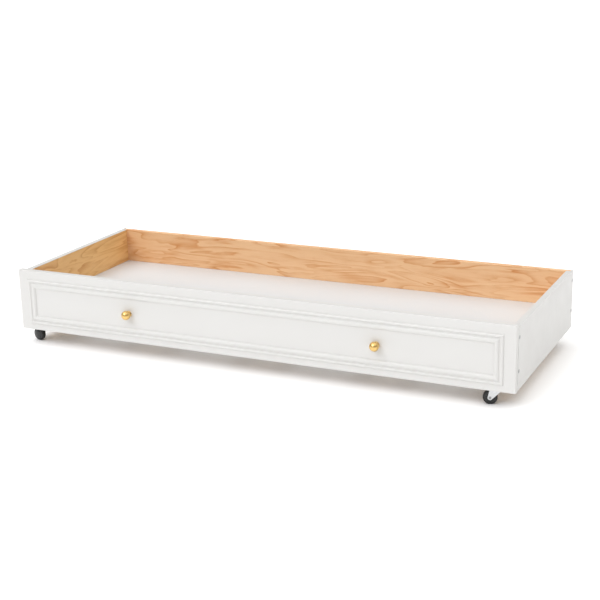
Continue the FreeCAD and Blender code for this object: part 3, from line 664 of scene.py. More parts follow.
@dataclass
class Workshop:
    """Finishes pieces: smooths them, gives them their body and says which node they stand for."""

    palette: Palette
    smooth_angle: float = math.radians(35)
    count: int = 0

    def hand_over(self, made: bpy.types.Object, body: str, node: str, slot: str) -> bpy.types.Object:
        """Make a settled object a piece of the bed.

        Args:
            made: The object, in place.
            body: The body that it rides on.
            node: The CAD node that it stands for.
            slot: The record's material slot; not used.

        Returns:
            The same object.
        """
        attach(made, body)
        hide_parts(node)
        self.count += 1
        log.info("%s: %d faces, rides on %s", made.name, len(made.data.polygons), body)
        return made

    def piece(self, node: str, shape: bmesh.types.BMesh, materials: Sequence[bpy.types.Material], slot: str,
              body: str = TRAY, add: Iterable[bmesh.types.BMesh] = (), cut: Iterable[bmesh.types.BMesh] = (),
              dress: Callable[[bpy.types.Mesh], None] | None = None) -> bpy.types.Object:
        """Finish a piece that stands for one node.

        Args:
            node: The CAD node.
            shape: The piece's shape, which is used up.
            materials: Its materials, the first one for every face that isn't dressed otherwise.
            slot: The record's material slot, passed to hand_over, which does not use it.
            body: The body that it rides on.
            add: Shapes that are joined to it.
            cut: Shapes that are cut out of it.
            dress: Gives some faces another material.

        Returns:
            The piece.
        """
        made = scratch_object(f"{node}_look", mesh_of(shape, f"{node}_look"))
        add, cut = list(add), list(cut)
        if add:
            combine(made, add, "UNION")
        if cut:
            combine(made, cut, "DIFFERENCE")
        made.data.materials.clear()
        for material in materials:
            made.data.materials.append(material)
        made.data.polygons.foreach_set("material_index", [0] * len(made.data.polygons))
        if dress:
            dress(made.data)
        made.data.shade_smooth()
        made.data.set_sharp_from_angle(angle=self.smooth_angle)
        weighted = made.modifiers.new("even_shading", "WEIGHTED_NORMAL")
        weighted.keep_sharp = True
        settle(made)
        return self.hand_over(made, body, node, slot)


def faces_at(axis: Axis, level: float, index: int) -> Callable[[bpy.types.Mesh], None]:
    """Dresses the faces whose centres are at one level of an axis."""
    def dress(mesh: bpy.types.Mesh) -> None:
        """Give those faces the material."""
        for polygon in mesh.polygons:
            if abs(polygon.center[axis] - level) < NEAR:
                polygon.material_index = index
    return dress


# The tray's boards


@dataclass
class Boards:
    """The false front, the box and everything under the deck."""

    shop: Workshop
    front_ease: float = 2.5 * MM
    board_ease: float = 1.5 * MM
    joint_bevel: float = 3.0 * MM
    side_arris: float = 0.6 * MM
    batten_ease: float = 1.2 * MM
    deck_ease: float = 1.0 * MM
    screw_hole: float = 14.7 * MM     # countersunk rims of the corner screws
    hole_depth: float = 0.9 * MM

    def front_panel(self) -> None:
        """The false front, eased in front and bevelled where it meets the sides."""
        low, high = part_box("front_panel")
        shape = block(low, high)
        for level in (low.x, high.x):
            ease(shape, self.joint_bevel, both(ends_at(Axis.X, level), ends_at(Axis.Y, high.y)), steps=1)
        ease(shape, self.front_ease, ends_at(Axis.Y, low.y), steps=5)
        self.shop.piece("front_panel", shape, [self.shop.palette.white], "white_lacquer")

    def side(self, side: Side) -> None:
        """A side board with its rebate for the back panel and oak on its inner face.

        Args:
            side: Which end of the bed.
        """
        node = f"{side.word}_side"
        low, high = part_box(node)
        back_low, back_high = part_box("back_panel")
        outer, inner = (low.x, high.x) if side is Side.LEFT else (high.x, low.x)
        tongue = back_low.x if side is Side.LEFT else back_high.x
        outline = [(outer, low.y), (outer, high.y), (tongue, high.y), (tongue, back_low.y),
                   (inner, back_low.y), (inner, low.y)]
        shape = prism(outline, Axis.Z, low.z, high.z)
        ease(shape, self.side_arris, both(ends_at(Axis.X, outer), ends_at(Axis.Y, low.y)), steps=2)
        for level in (outer, inner):
            ease(shape, self.board_ease, both(ends_at(Axis.X, level), ends_at(Axis.Z, high.z)))
        outward = Axis.X.unit * side.value
        holes = [self.countersink(centre, outward) for centre in corner_screw_places(side)]
        oak = self.shop.palette.oak_left if side is Side.LEFT else self.shop.palette.oak_right
        self.shop.piece(node, shape, [self.shop.palette.white, oak], "white_lacquer", cut=holes,
                        dress=faces_at(Axis.X, inner, 1))

    def countersink(self, centre: Vector, outward: Vector) -> bmesh.types.BMesh:
        """The shallow rim that a countersunk head lies in.

        Args:
            centre: The head's middle, on the board's face.
            outward: The face's normal.

        Returns:
            The shape to cut out.
        """
        radius = self.screw_hole / 2
        profile = [(0.0, -self.hole_depth), (radius - self.hole_depth, -self.hole_depth), (radius, 0.0),
                   (radius, self.hole_depth), (0.0, self.hole_depth)]
        return lathe(profile, centre, outward, steps=32)

    def back_panel(self) -> None:
        """The back board: white behind, oak inside and along its top edge."""
        low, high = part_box("back_panel")
        shape = block(low, high)
        for level in (low.y, high.y):
            ease(shape, self.board_ease, both(ends_at(Axis.Y, level), ends_at(Axis.Z, high.z)))

        def dress(mesh: bpy.types.Mesh) -> None:
            """Give the inner face and the top edge the oak."""
            for polygon in mesh.polygons:
                middle = polygon.center
                on_top = middle.z > high.z - self.board_ease and middle.y < high.y - self.board_ease
                if on_top or abs(middle.y - low.y) < NEAR:
                    polygon.material_index = 1

        palette = self.shop.palette
        self.shop.piece("back_panel", shape, [palette.white, palette.oak_long], "white_lacquer", dress=dress)

    def box_front(self) -> None:
        """The hidden front board of the box, oak on its inner face."""
        low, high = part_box("box_front")
        shape = block(low, high)
        for level in (low.y, high.y):
            ease(shape, self.board_ease, both(ends_at(Axis.Y, level), ends_at(Axis.Z, high.z)))
        self.shop.piece("box_front", shape, [self.shop.palette.oak_long], "oak")

    def deck(self) -> None:
        """The deck panel."""
        low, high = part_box("deck_panel")
        shape = block(low, high)
        ease(shape, self.deck_ease, ends_at(Axis.Z, high.z))
        self.shop.piece("deck_panel", shape, [self.shop.palette.deck], "deck_white")

    def battens(self) -> None:
        """The ledgers, the bearers and the caster rails."""
        palette = self.shop.palette
        long = ("front_ledger", "back_ledger")
        deep = ("left_ledger", "right_ledger", "left_bearer", "centre_bearer", "right_bearer",
                "left_caster_rail", "right_caster_rail")
        for nodes, material in ((long, palette.pine_long), (deep, palette.pine_deep)):
            for node in nodes:
                shape = block(*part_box(node))
                ease(shape, self.batten_ease)
                self.shop.piece(node, shape, [material], "softwood")

    def build(self) -> None:
        """Build every board."""
        self.front_panel()
        for side in Side:
            self.side(side)
        self.back_panel()
        self.box_front()
        self.deck()
        self.battens()


# The moulding


@dataclass
class Moulding:
    """Four mitred lengths of a two-ridged moulding, swept by one node tree."""

    shop: Workshop
    bead_width: float = 11.5 * MM
    bead_rise: float = 5.5 * MM
    swell_width: float = 18.5 * MM
    swell_rise: float = 7.0 * MM
    lip: float = 1.6 * MM
    tree: bpy.types.NodeTree = field(init=False)

    def __post_init__(self) -> None:
        """Write the tree that sweeps and mitres a length."""
        tree = bpy.data.node_groups.new("mitred_moulding", "GeometryNodeTree")
        self.tree = tree
        for name, kind in (("Profile", "Geometry"), ("Length", "Float"), ("Turn", "Float"),
                           ("Place", "Vector"), ("Material", "Material")):
            tree.interface.new_socket(name, in_out="INPUT", socket_type=f"NodeSocket{kind}")
        tree.interface.new_socket("Moulding", in_out="OUTPUT", socket_type="NodeSocketGeometry")
        write = NodeWriter(tree)
        given = write.node("NodeGroupInput").outputs
        half = write.math("MULTIPLY", given["Length"], 0.5)
        start = write.node("ShaderNodeCombineXYZ", {"X": write.math("MULTIPLY", half, -1.0)}).outputs[0]
        end = write.node("ShaderNodeCombineXYZ", {"X": half}).outputs[0]
        line = write.node("GeometryNodeCurvePrimitiveLine", {"Start": start, "End": end}).outputs[0]
        profile = write.node("GeometryNodeMeshToCurve", {"Mesh": given["Profile"]}).outputs[0]
        swept = write.node("GeometryNodeCurveToMesh",
                           {"Curve": line, "Profile Curve": profile, "Fill Caps": True}).outputs[0]
        position = write.node("GeometryNodeInputPosition").outputs[0]
        place = write.node("ShaderNodeSeparateXYZ", {0: position}).outputs
        toward_middle = write.math("MULTIPLY", write.math("SIGN", place["X"]), -1.0)
        slide = write.node("ShaderNodeCombineXYZ", {"X": write.math("MULTIPLY", toward_middle, place["Z"])})
        mitred = write.node("GeometryNodeSetPosition", {"Geometry": swept, "Offset": slide.outputs[0]})
        turn = write.node("ShaderNodeCombineXYZ", {"Y": given["Turn"]}).outputs[0]
        feeds = {"Geometry": mitred.outputs[0], "Translation": given["Place"], "Rotation": turn}
        moved = write.node("GeometryNodeTransform", feeds)
        whole = write.node("GeometryNodeRealizeInstances", {"Geometry": moved.outputs[0]}).outputs[0]
        dressed = write.node("GeometryNodeSetMaterial", {"Geometry": whole, "Material": given["Material"]})
        write.node("NodeGroupOutput", {0: dressed.outputs[0]})

    def section(self, width: float) -> bpy.types.Mesh:
        """The moulding's section as a closed loop of edges.

        Args:
            width: From its outer edge to its inner one.

        Returns:
            A mesh with x for the rise and -y for the way inward, as a swept profile needs it.
        """
        lip_round = self.lip / 2
        outer = arc((lip_round, self.lip - lip_round), lip_round, 180, 90, 3)
        bead = ridge(lip_round, self.bead_width - lip_round, self.lip, self.bead_rise, 18)
        swell = ridge(width - self.swell_width, self.swell_width - lip_round, self.lip, self.swell_rise, 24)
        inner = arc((width - lip_round, self.lip - lip_round), lip_round, 90, 0, 3)
        line = [(0.0, 0.0), *outer[:-1], *bead, *swell, *inner[1:], (width, 0.0)]
        mesh = bpy.data.meshes.new("moulding_section")
        points = [(rise, -place, 0.0) for place, rise in line]
        mesh.from_pydata(points, [(index, (index + 1) % len(points)) for index in range(len(points))], [])
        return mesh

    def length(self, node: str, run: Axis, width: float, turn: float) -> None:
        """Sweep, mitre and place one length.

        Args:
            node: The CAD node that it stands for.
            run: The axis that it runs along.
            width: The moulding's width.
            turn: How far it is turned about Y, in degrees, from the bottom length.
        """
        low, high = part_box(node)
        middle = (low + high) / 2
        rise = Axis.X if run is Axis.Z else Axis.Z
        place = Vector((middle.x, high.y, middle.z))
        outer_is_low = turn in (0, 90)
        place[rise] = low[rise] if outer_is_low else high[rise]
        made = scratch_object(f"{node}_look", self.section(width))
        modifier = made.modifiers.new("sweep", "NODES")
        modifier.node_group = self.tree
        values = {"Length": high[run] - low[run], "Turn": math.radians(turn), "Place": place,
                  "Material": self.shop.palette.white}
        for item in self.tree.interface.items_tree:
            if item.name in values:
                modifier[item.identifier] = values[item.name]
        settle(made)
        shape = bmesh.new()
        shape.from_mesh(made.data)
        bmesh.ops.recalc_face_normals(shape, faces=shape.faces)
        shape.to_mesh(made.data)
        shape.free()
        made.data.shade_smooth()
        made.data.set_sharp_from_angle(angle=self.shop.smooth_angle)
        self.shop.hand_over(made, TRAY, node, "white_lacquer")

    def build(self) -> None:
        """Build the frame's four lengths."""
        low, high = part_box("moulding_bottom")
        width = high.z - low.z
        for word, run, turn in (("bottom", Axis.X, 0), ("top", Axis.X, 180), ("left", Axis.Z, 90),
                                ("right", Axis.Z, -90)):
            self.length(f"moulding_{word}", run, width, turn)


# Knobs


@dataclass
class Knob:
    """A brass ball on a short neck, and the rose behind it."""

    shop: Workshop
    side: Side
    neck: float = 7.0 * MM
    flare: float = 0.5 * MM
    rim: float = 1.3 * MM
    groove: float = 0.4 * MM
    groove_share: float = 0.78    # where the groove's outer edge is on the rose
    sides: int = 96

    def turned(self, node: str, profile: Sequence[Point], centre: Vector) -> None:
        """Turn a brass piece that stands out from the front.

        Args:
            node: The CAD node that it stands for.
            profile: Its half section.
            centre: The axis's start, on the front's face.
        """
        shape = lathe(profile, centre, -Axis.Y.unit, self.sides)
        self.shop.piece(node, shape, [self.shop.palette.brass], "knob_brass")

    def build(self) -> None:
        """Build the rose and the knob."""
        low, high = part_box(f"{self.side.word}_knob_rose")
        centre = Vector(((low.x + high.x) / 2, high.y, (low.z + high.z) / 2))
        radius, thick = (high.x - low.x) / 2, high.y - low.y
        ring = radius * self.groove_share
        rose = [(0.0, 0.0), (radius, 0.0), *arc((radius - self.rim, thick - self.rim), self.rim, 0, 90, 8),
                (ring, thick), *arc((ring - self.groove, thick), self.groove, 0, -180, 6),
                (self.neck, thick), (0.0, thick)]
        self.turned(f"{self.side.word}_knob_rose", rose, centre)
        low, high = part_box(f"{self.side.word}_knob")
        ball = (high.x - low.x) / 2
        middle = centre.y - low.y - ball
        meets = math.degrees(math.asin(self.neck / ball))
        knob = [(0.0, thick), (self.neck + self.flare, thick),
                (self.neck + self.flare * 0.3, thick + self.flare * 0.5),
                *arc((0.0, middle), ball, -90 + meets, 90, 44)[:-1], (0.0, middle + ball)]
        self.turned(f"{self.side.word}_knob", knob, centre)


# Screws


@dataclass
class ScrewBox:
    """Cross-headed screws, set at their places by one node tree."""

    shop: Workshop
    sides: int = 28
    dome: float = 0.6             # millimetres, as the tree works in them
    pan_height: float = 2.4
    recess_share: float = 0.56    # of the head's width
    blade_share: float = 0.13
    recess_depth: float = 1.5
    seed: int = 7
    tree: bpy.types.NodeTree = field(init=False)

    def __post_init__(self) -> None:
        """Write the tree: a head with a cross recess and a shank, repeated over the points."""
        tree = bpy.data.node_groups.new("cross_screws", "GeometryNodeTree")
        self.tree = tree
        for name, kind in (("Places", "Geometry"), ("Lower Radius", "Float"), ("Upper Radius", "Float"),
                           ("Head Base", "Float"), ("Head Height", "Float"), ("Dome", "Float"),
                           ("Shank Radius", "Float"), ("Length", "Float"), ("Recess Size", "Vector"),
                           ("Material", "Material")):
            tree.interface.new_socket(name, in_out="INPUT", socket_type=f"NodeSocket{kind}")
        tree.interface.new_socket("Screws", in_out="OUTPUT", socket_type="NodeSocketGeometry")
        write = NodeWriter(tree)
        given = write.node("NodeGroupInput").outputs
        top = write.math("ADD", given["Head Base"], given["Head Height"])

        def raised(mesh: object, height: object, scale: object = (1.0, 1.0, 1.0),
                   turn: float = 0.0) -> bpy.types.NodeSocket:
            """A part moved up the screw's axis, scaled and turned about it."""
            lift = write.node("ShaderNodeCombineXYZ", {"Z": height}).outputs[0]
            feeds = {"Geometry": mesh, "Translation": lift, "Scale": scale, "Rotation": (0.0, 0.0, turn)}
            return write.node("GeometryNodeTransform", feeds).outputs[0]

        feeds = {"Vertices": self.sides, "Radius Top": given["Upper Radius"],
                 "Radius Bottom": given["Lower Radius"], "Depth": given["Head Height"]}
        cone = write.node("GeometryNodeMeshCone", feeds).outputs["Mesh"]
        ball = write.node("GeometryNodeMeshUVSphere", {"Segments": self.sides, "Rings": 12, "Radius": 1.0})
        squat = write.node("ShaderNodeCombineXYZ", {"X": given["Upper Radius"], "Y": given["Upper Radius"],
                                                    "Z": given["Dome"]}).outputs[0]
        feeds = {"Vertices": self.sides, "Radius": given["Shank Radius"], "Depth": given["Length"]}
        shank = write.node("GeometryNodeMeshCylinder", feeds).outputs["Mesh"]
        shank_middle = write.math("MULTIPLY", given["Length"], -0.5)
        parts = [raised(cone, given["Head Base"]), raised(ball.outputs["Mesh"], top, squat),
                 raised(shank, shank_middle)]
        solid = write.node("GeometryNodeMeshBoolean", {1: parts}, operation="UNION",
                           solver="EXACT").outputs["Mesh"]
        bar = write.node("GeometryNodeMeshCube", {"Size": given["Recess Size"]}).outputs["Mesh"]
        crest = write.math("ADD", top, given["Dome"])
        cross = [raised(bar, crest), raised(bar, crest, turn=math.pi / 2)]
        screw = write.node("GeometryNodeMeshBoolean", {0: solid, 1: cross}, operation="DIFFERENCE",
                           solver="EXACT").outputs["Mesh"]
        facing = write.node("GeometryNodeInputNamedAttribute", {"Name": "facing"},
                            data_type="FLOAT_VECTOR").outputs[0]
        aim = write.node("FunctionNodeAlignRotationToVector", {"Vector": facing}, axis="Z").outputs[0]
        chance = write.node("FunctionNodeRandomValue", {2: 0.0, 3: math.tau, "Seed": self.seed}).outputs[1]
        feeds = {"Axis": (0.0, 0.0, 1.0), "Angle": chance}
        spin = write.node("FunctionNodeAxisAngleToRotation", feeds).outputs[0]
        turned = write.node("FunctionNodeRotateRotation", {0: aim, 1: spin},
                            rotation_space="LOCAL").outputs[0]
        feeds = {"Points": given["Places"], "Instance": screw, "Rotation": turned, "Scale": (MM, MM, MM)}
        spread = write.node("GeometryNodeInstanceOnPoints", feeds).outputs[0]
        whole = write.node("GeometryNodeRealizeInstances", {"Geometry": spread}).outputs[0]
        dressed = write.node("GeometryNodeSetMaterial", {"Geometry": whole, "Material": given["Material"]})
        write.node("NodeGroupOutput", {0: dressed.outputs[0]})

    def drive(self, node: str, places: Sequence[tuple[Vector, Vector]], head: Head, width: float,
              shank: float, length: float) -> None:
        """Set a group of screws.

        Args:
            node: The CAD node that they stand for.
            places: Each head's middle on the face it sits in, and the way that it faces.
            head: The head's shape.
            width: The head's diameter in millimetres.
            shank: The shank's diameter.
            length: From the face to the tip.
        """
        points = bpy.data.meshes.new(node)
        points.from_pydata([place for place, _ in places], [], [])
        facing = points.attributes.new("facing", "FLOAT_VECTOR", "POINT")
        facing.data.foreach_set("vector", [number for _, way in places for number in way])
        made = scratch_object(f"{node}_look", points)
        modifier = made.modifiers.new("screws", "NODES")
        modifier.node_group = self.tree
        sunk = (width - shank) / 2
        values = {
            "Lower Radius": shank / 2 if head is Head.COUNTERSUNK else width / 2,
            "Upper Radius": width / 2 if head is Head.COUNTERSUNK else width * 0.46,
            "Head Base": -sunk if head is Head.COUNTERSUNK else 0.0,
            "Head Height": sunk if head is Head.COUNTERSUNK else self.pan_height / 2,
            "Dome": self.dome if head is Head.COUNTERSUNK else self.pan_height / 2,
            "Shank Radius": shank / 2, "Length": length,
            "Recess Size": Vector((width * self.recess_share, width * self.blade_share,
                                   2 * self.recess_depth)),
            "Material": self.shop.palette.steel,
        }
        for item in self.tree.interface.items_tree:
            if item.name in values:
                modifier[item.identifier] = values[item.name]
        settle(made)
        made.data.shade_smooth()
        made.data.set_sharp_from_angle(angle=self.shop.smooth_angle)
        self.shop.hand_over(made, TRAY, node, "screw_steel")


def even(low: float, high: float, count: int) -> list[float]:
    """Evenly spaced places from low to high, both among them."""
    return [low + (high - low) * step / (count - 1) for step in range(count)]


def corner_screw_places(side: Side) -> list[Vector]:
    """The middles of a side's four corner screws, on its outer face."""
    low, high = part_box(f"{side.word}_corner_screws")
    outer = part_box(f"{side.word}_side")[0 if side is Side.LEFT else 1].x
    head = ScrewSizes.CORNER.width / 2 * MM
    return [Vector((outer, y, z)) for y in (low.y + head, high.y - head)
            for z in (low.z + head, high.z - head)]


class ScrewSizes(Enum):
    """The bed's kinds of screw: head diameter, shank diameter and length in millimetres."""

    CORNER = (14.0, 7.0, 50.0)
    WOOD = (8.0, 4.0, 38.0)
    CASTER = (7.5, 4.0, 17.0)
    KNOB = (8.0, 4.0, 61.0)

    @property
    def width(self) -> float:
        """The head's diameter."""
        return self.value[0]


@dataclass
class Screws:
    """Every group of screws in the bed."""

    shop: Workshop
    box: ScrewBox = field(init=False)

    def __post_init__(self) -> None:
        """Get the screw box ready."""
        self.box = ScrewBox(self.shop)

    def grid(self, node: str, facing: Vector, level: float, counts: tuple[int, int],
             size: ScrewSizes) -> list[tuple[Vector, Vector]]:
        """Places in even rows and columns over a node's box.

        Args:
            node: The screws' CAD node.
            facing: The way that the heads face.
            level: Where the face that they sit in lies, along that way's axis.
            counts: How many there are along the other two axes, in the order X, Y, Z.
            size: Their size.

        Returns:
            Each head's middle and the way that it faces.
        """
        low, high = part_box(node)
        normal = max(Axis, key=lambda axis: abs(facing[axis]))
        first, second = (axis for axis in Axis if axis != normal)
        inset = size.width / 2 * MM
        found = []
        for a in even(low[first] + inset, high[first] - inset, counts[0]):
            for b in even(low[second] + inset, high[second] - inset, counts[1]):
                place = Vector()
                place[normal], place[first], place[second] = level, a, b
                found.append((place, facing))
        return found

    def build(self) -> None:
        """Drive every screw."""
        bay_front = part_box("box_front")[1].y
        back, up, down = Axis.Y.unit, Axis.Z.unit, -Axis.Z.unit
        for side in Side:
            outward = Axis.X.unit * side.value
            places = [(centre, outward) for centre in corner_screw_places(side)]
            self.box.drive(f"{side.word}_corner_screws", places, Head.COUNTERSUNK, *ScrewSizes.CORNER.value)
            low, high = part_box(f"{side.word}_knob_screw")
            knob = (Vector(((low.x + high.x) / 2, bay_front, (low.z + high.z) / 2)), back)
            self.box.drive(f"{side.word}_knob_screw", [knob], Head.PAN, *ScrewSizes.KNOB.value)
        places = self.grid("front_screws", back, bay_front, (5, 2), ScrewSizes.WOOD)
        self.box.drive("front_screws", places, Head.COUNTERSUNK, *ScrewSizes.WOOD.value)
        low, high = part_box("ledger_screws")
        inset = ScrewSizes.WOOD.width / 2 * MM
        level = (low.z + high.z) / 2
        inside = ((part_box("front_ledger")[1].y, back), (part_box("back_ledger")[0].y, -back))
        places = [(Vector((x, y, level)), way) for y, way in inside
                  for x in even(low.x + inset, high.x - inset, 6)]
        self.box.drive("ledger_screws", places, Head.COUNTERSUNK, *ScrewSizes.WOOD.value)
        places = self.grid("rail_screws", down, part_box("left_caster_rail")[0].z, (2, 3), ScrewSizes.WOOD)
        self.box.drive("rail_screws", places, Head.COUNTERSUNK, *ScrewSizes.WOOD.value)
        self.box.drive("caster_screws", self.caster_places(down), Head.PAN, *ScrewSizes.CASTER.value)

    def caster_places(self, down: Vector) -> list[tuple[Vector, Vector]]:
        """The sixteen caster screws: four in each plate."""
        low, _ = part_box("caster_screws")
        inset = ScrewSizes.CASTER.width / 2 * MM
        found = []
        corner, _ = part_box("front_left_plate")
        margin_x, margin_y = low.x + inset - corner.x, low.y + inset - corner.y
        for end in ("front", "rear"):
            for side in Side:
                start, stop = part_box(f"{end}_{side.word}_plate")
                found += [(Vector((x, y, start.z)), down) for x in (start.x + margin_x, stop.x - margin_x)
                          for y in (start.y + margin_y, stop.y - margin_y)]
        return found


# Casters


@dataclass
class Caster:
    """A single-armed swivel caster: its plate and cup stay, the arm swivels and the wheel spins.

    Its own axes are centred on the kingpin, with the floor at z = 0 and the wheel trailing along -X.
    """

    shop: Workshop
    end: str
    side: Side
    plate_corner: float = 5.0 * MM
    sheet: float = 2.5 * MM
    sheet_ease: float = 0.45 * MM
    crown: float = 20.0 * MM
    arm_end: float = 8.5 * MM
    arm_top: float = 30.0 * MM
    arm_gap: float = 1.5 * MM
    shoulder_drop: float = 22.0 * MM
    shoulder_lean: float = 3.0 * MM
    pin_bore: float = 4.05 * MM
    half_wheel: float = 9.0 * MM
    tyre_round: float = 3.0 * MM
    tyre_groove: float = 0.8 * MM
    tyre_wall: float = 6.0 * MM
    hub_dome: float = 3.0 * MM
    hub_lip: float = 0.5 * MM
    axle_depth: float = 14.0 * MM
    axle_head: float = 5.0 * MM
    axle_rise: float = 1.8 * MM
    axle_shank: float = 4.0 * MM

    @property
    def prefix(self) -> str:
        """The start of the caster's node and body names."""
        return f"{self.end}_{self.side.word}"

    @property
    def hand(self) -> int:
        """The side of the wheel that the arm is on: 1 for +Y and -1 for -Y in the caster's own axes."""
        return -self.side.value

    def middle(self, part: str) -> Vector:
        """The middle of one of the caster's nodes."""
        low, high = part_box(f"{self.prefix}_{part}")
        return (low + high) / 2

    @property
    def reach(self) -> Vector:
        """From the kingpin to the wheel's middle, level."""
        return (self.middle("tyre") - self.middle("kingpin")) * Vector((1.0, 1.0, 0.0))

    @property
    def wheel_centre(self) -> Vector:
        """The wheel's middle in the caster's own axes."""
        return Vector((-self.reach.length, 0.0, self.middle("tyre").z))

    def seat(self, shape: bmesh.types.BMesh) -> bmesh.types.BMesh:
        """Move a shape from the caster's own axes to its place.

        Args:
            shape: The shape, which is changed.

        Returns:
            The same shape.
        """
        pin = self.middle("kingpin")
        trailing = -self.reach
        turn = Matrix.Rotation(math.atan2(trailing.y, trailing.x), 4, "Z")
        bmesh.ops.transform(shape, matrix=Matrix.Translation((pin.x, pin.y, 0.0)) @ turn, verts=shape.verts)
        return shape

    def fixed(self) -> None:
        """The pressed plate, the cup under it and the rivet through them."""
        zinc = self.shop.palette.zinc
        low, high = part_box(f"{self.prefix}_plate")
        outline = rounded_rectangle((low.x, low.y), (high.x, high.y), self.plate_corner)
        shape = prism(outline, Axis.Z, low.z, high.z)
        ease(shape, self.sheet_ease, lambda edge: edge.calc_face_angle(0.0) > math.radians(60), steps=2)
        self.shop.piece(f"{self.prefix}_plate", shape, [zinc], "zinc_plate")
        low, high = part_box(f"{self.prefix}_race")
        radius, tall = (high.x - low.x) / 2, high.z - low.z
        top = Vector((*self.middle("race").xy, high.z))
        cup = [(0.0, 0.0), (radius - tall * 0.55, 0.0),
               *arc((radius - tall * 0.5, tall * 0.5), tall * 0.5, -80, 0, 6),
               (radius, tall * 0.72), *arc((radius - 0.5 * MM, tall - 0.5 * MM), 0.5 * MM, 0, 90, 4),
               (radius * 0.78, tall), *arc((radius * 0.70, tall), 0.7 * MM, 0, -180, 6), (radius * 0.5, tall),
               (0.0, tall)]
        self.shop.piece(f"{self.prefix}_race", lathe(cup, top, -Axis.Z.unit, 64), [zinc], "zinc_plate")
        low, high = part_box(f"{self.prefix}_kingpin")
        head, tall, shank = (high.x - low.x) / 2, high.z - low.z, self.pin_bore - 0.05 * MM
        foot = Vector((*self.middle("kingpin").xy, low.z))
        pin = [(0.0, 0.0), (head * 0.45, 0.0), (head * 0.6, 0.25 * MM),
               *arc((head - 1.2 * MM, 1.4 * MM), 1.2 * MM, -90, 0, 6), (head, 3.0 * MM), (shank, 3.0 * MM),
               (shank, tall), (0.0, tall)]
        self.shop.piece(f"{self.prefix}_kingpin", lathe(pin, foot, Axis.Z.unit, 40), [zinc], "zinc_plate")

    def arm(self) -> None:
        """The sheet arm: a round crown, a bent shoulder and one leg with a round end."""
        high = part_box(f"{self.prefix}_arm")[1]
        wheel = self.wheel_centre
        inner = self.hand * (self.half_wheel + self.arm_gap)
        outer = inner + self.hand * self.sheet
        tangent = self.arm_end * math.sqrt(0.5)
        foot = (wheel.x + tangent, wheel.z - tangent)
        plate_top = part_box(f"{self.prefix}_plate")[1].z
        rear = (wheel.x - self.shoulder_lean, plate_top - self.shoulder_drop)
        front = self.arm_top / 2
        outline = [*arc((wheel.x, wheel.z), self.arm_end, 180, 315, 18), (front, foot[1] + front - foot[0]),
                   (front, high.z), (-front, high.z), rear]
        leg = prism([(z, x) for x, z in outline], Axis.Y, min(inner, outer), max(inner, outer))
        ease(leg, self.sheet_ease, both(ends_at(Axis.Y, outer)), steps=2)
        start = Vector((0.0, 0.0, high.z - self.sheet))
        disc = [(0.0, 0.0), (self.crown, 0.0), (self.crown, self.sheet), (0.0, self.sheet)]
        bore = [(0.0, -self.sheet), (self.pin_bore, -self.sheet), (self.pin_bore, 2 * self.sheet),
                (0.0, 2 * self.sheet)]
        top = lathe(disc, start, Axis.Z.unit, 64)
        hole = lathe(bore, start, Axis.Z.unit, 32)
        self.shop.piece(f"{self.prefix}_arm", self.seat(leg), [self.shop.palette.zinc], "zinc_plate",
                        body=f"{self.prefix}_swivel", add=[self.seat(top)], cut=[self.seat(hole)])

    def wheel(self) -> None:
        """The axle's rivet, the domed hub and the tyre."""
        palette = self.shop.palette
        centre, out, half = self.wheel_centre, -Axis.Y.unit * self.hand, self.half_wheel
        radius = centre.z
        hub, dome = radius - self.tyre_wall, self.hub_dome
        bow = (hub * hub + dome * dome) / (2 * dome)
        edge = math.degrees(math.asin(hub / bow))
        face = arc((0.0, half + dome - bow), bow, 90 - edge, 90, 20)[:-1]
        bore, lip, deep = self.pin_bore, self.hub_lip, -half + self.axle_depth
        profile = [(bore, -half), (7.0 * MM, -half), (7.4 * MM, -half + lip), (hub - 3.2 * MM, -half + lip),
                   (hub - 2.8 * MM, -half), (hub, -half), *face, (0.0, half + dome), (0.0, deep),
                   (bore, deep)]
        shape = self.seat(lathe(profile, centre, out, 72, ring=True))
        self.shop.piece(f"{self.prefix}_wheel_hub", shape, [palette.nylon], "wheel_black",
                        body=f"{self.prefix}_wheel")
        turn, groove = self.tyre_round, self.tyre_groove
        tread = [(hub, -half), *arc((radius - turn, -half + turn), turn, -90, 0, 8),
                 (radius, -groove), (radius - groove * 0.6, 0.0), (radius, groove),
                 *arc((radius - turn, half - turn), turn, 0, 90, 8), (hub, half)]
        shape = self.seat(lathe(tread, centre, out, 96, ring=True))
        self.shop.piece(f"{self.prefix}_tyre", shape, [palette.rubber], "tyre_black",
                        body=f"{self.prefix}_wheel")
        head, shank, rise = self.axle_head, self.axle_shank, self.axle_rise
        start = half + self.arm_gap + self.sheet + rise
        long = start - half + self.axle_depth - 0.3 * MM
        curve = (head * head + rise * rise) / (2 * rise)
        cap = arc((0.0, curve), curve, -90, -90 + math.degrees(math.asin(head / curve)), 8)[1:]
        profile = [(0.0, 0.0), *cap, (shank, rise), (shank, long), (0.0, long)]
        shape = self.seat(lathe(profile, centre - out * start, out, 40))
        self.shop.piece(f"{self.prefix}_axle", shape, [palette.steel], "screw_steel",
                        body=f"{self.prefix}_swivel")

    def build(self) -> None:
        """Build the whole caster."""
        self.fixed()
        self.arm()
        self.wheel()


# The studio


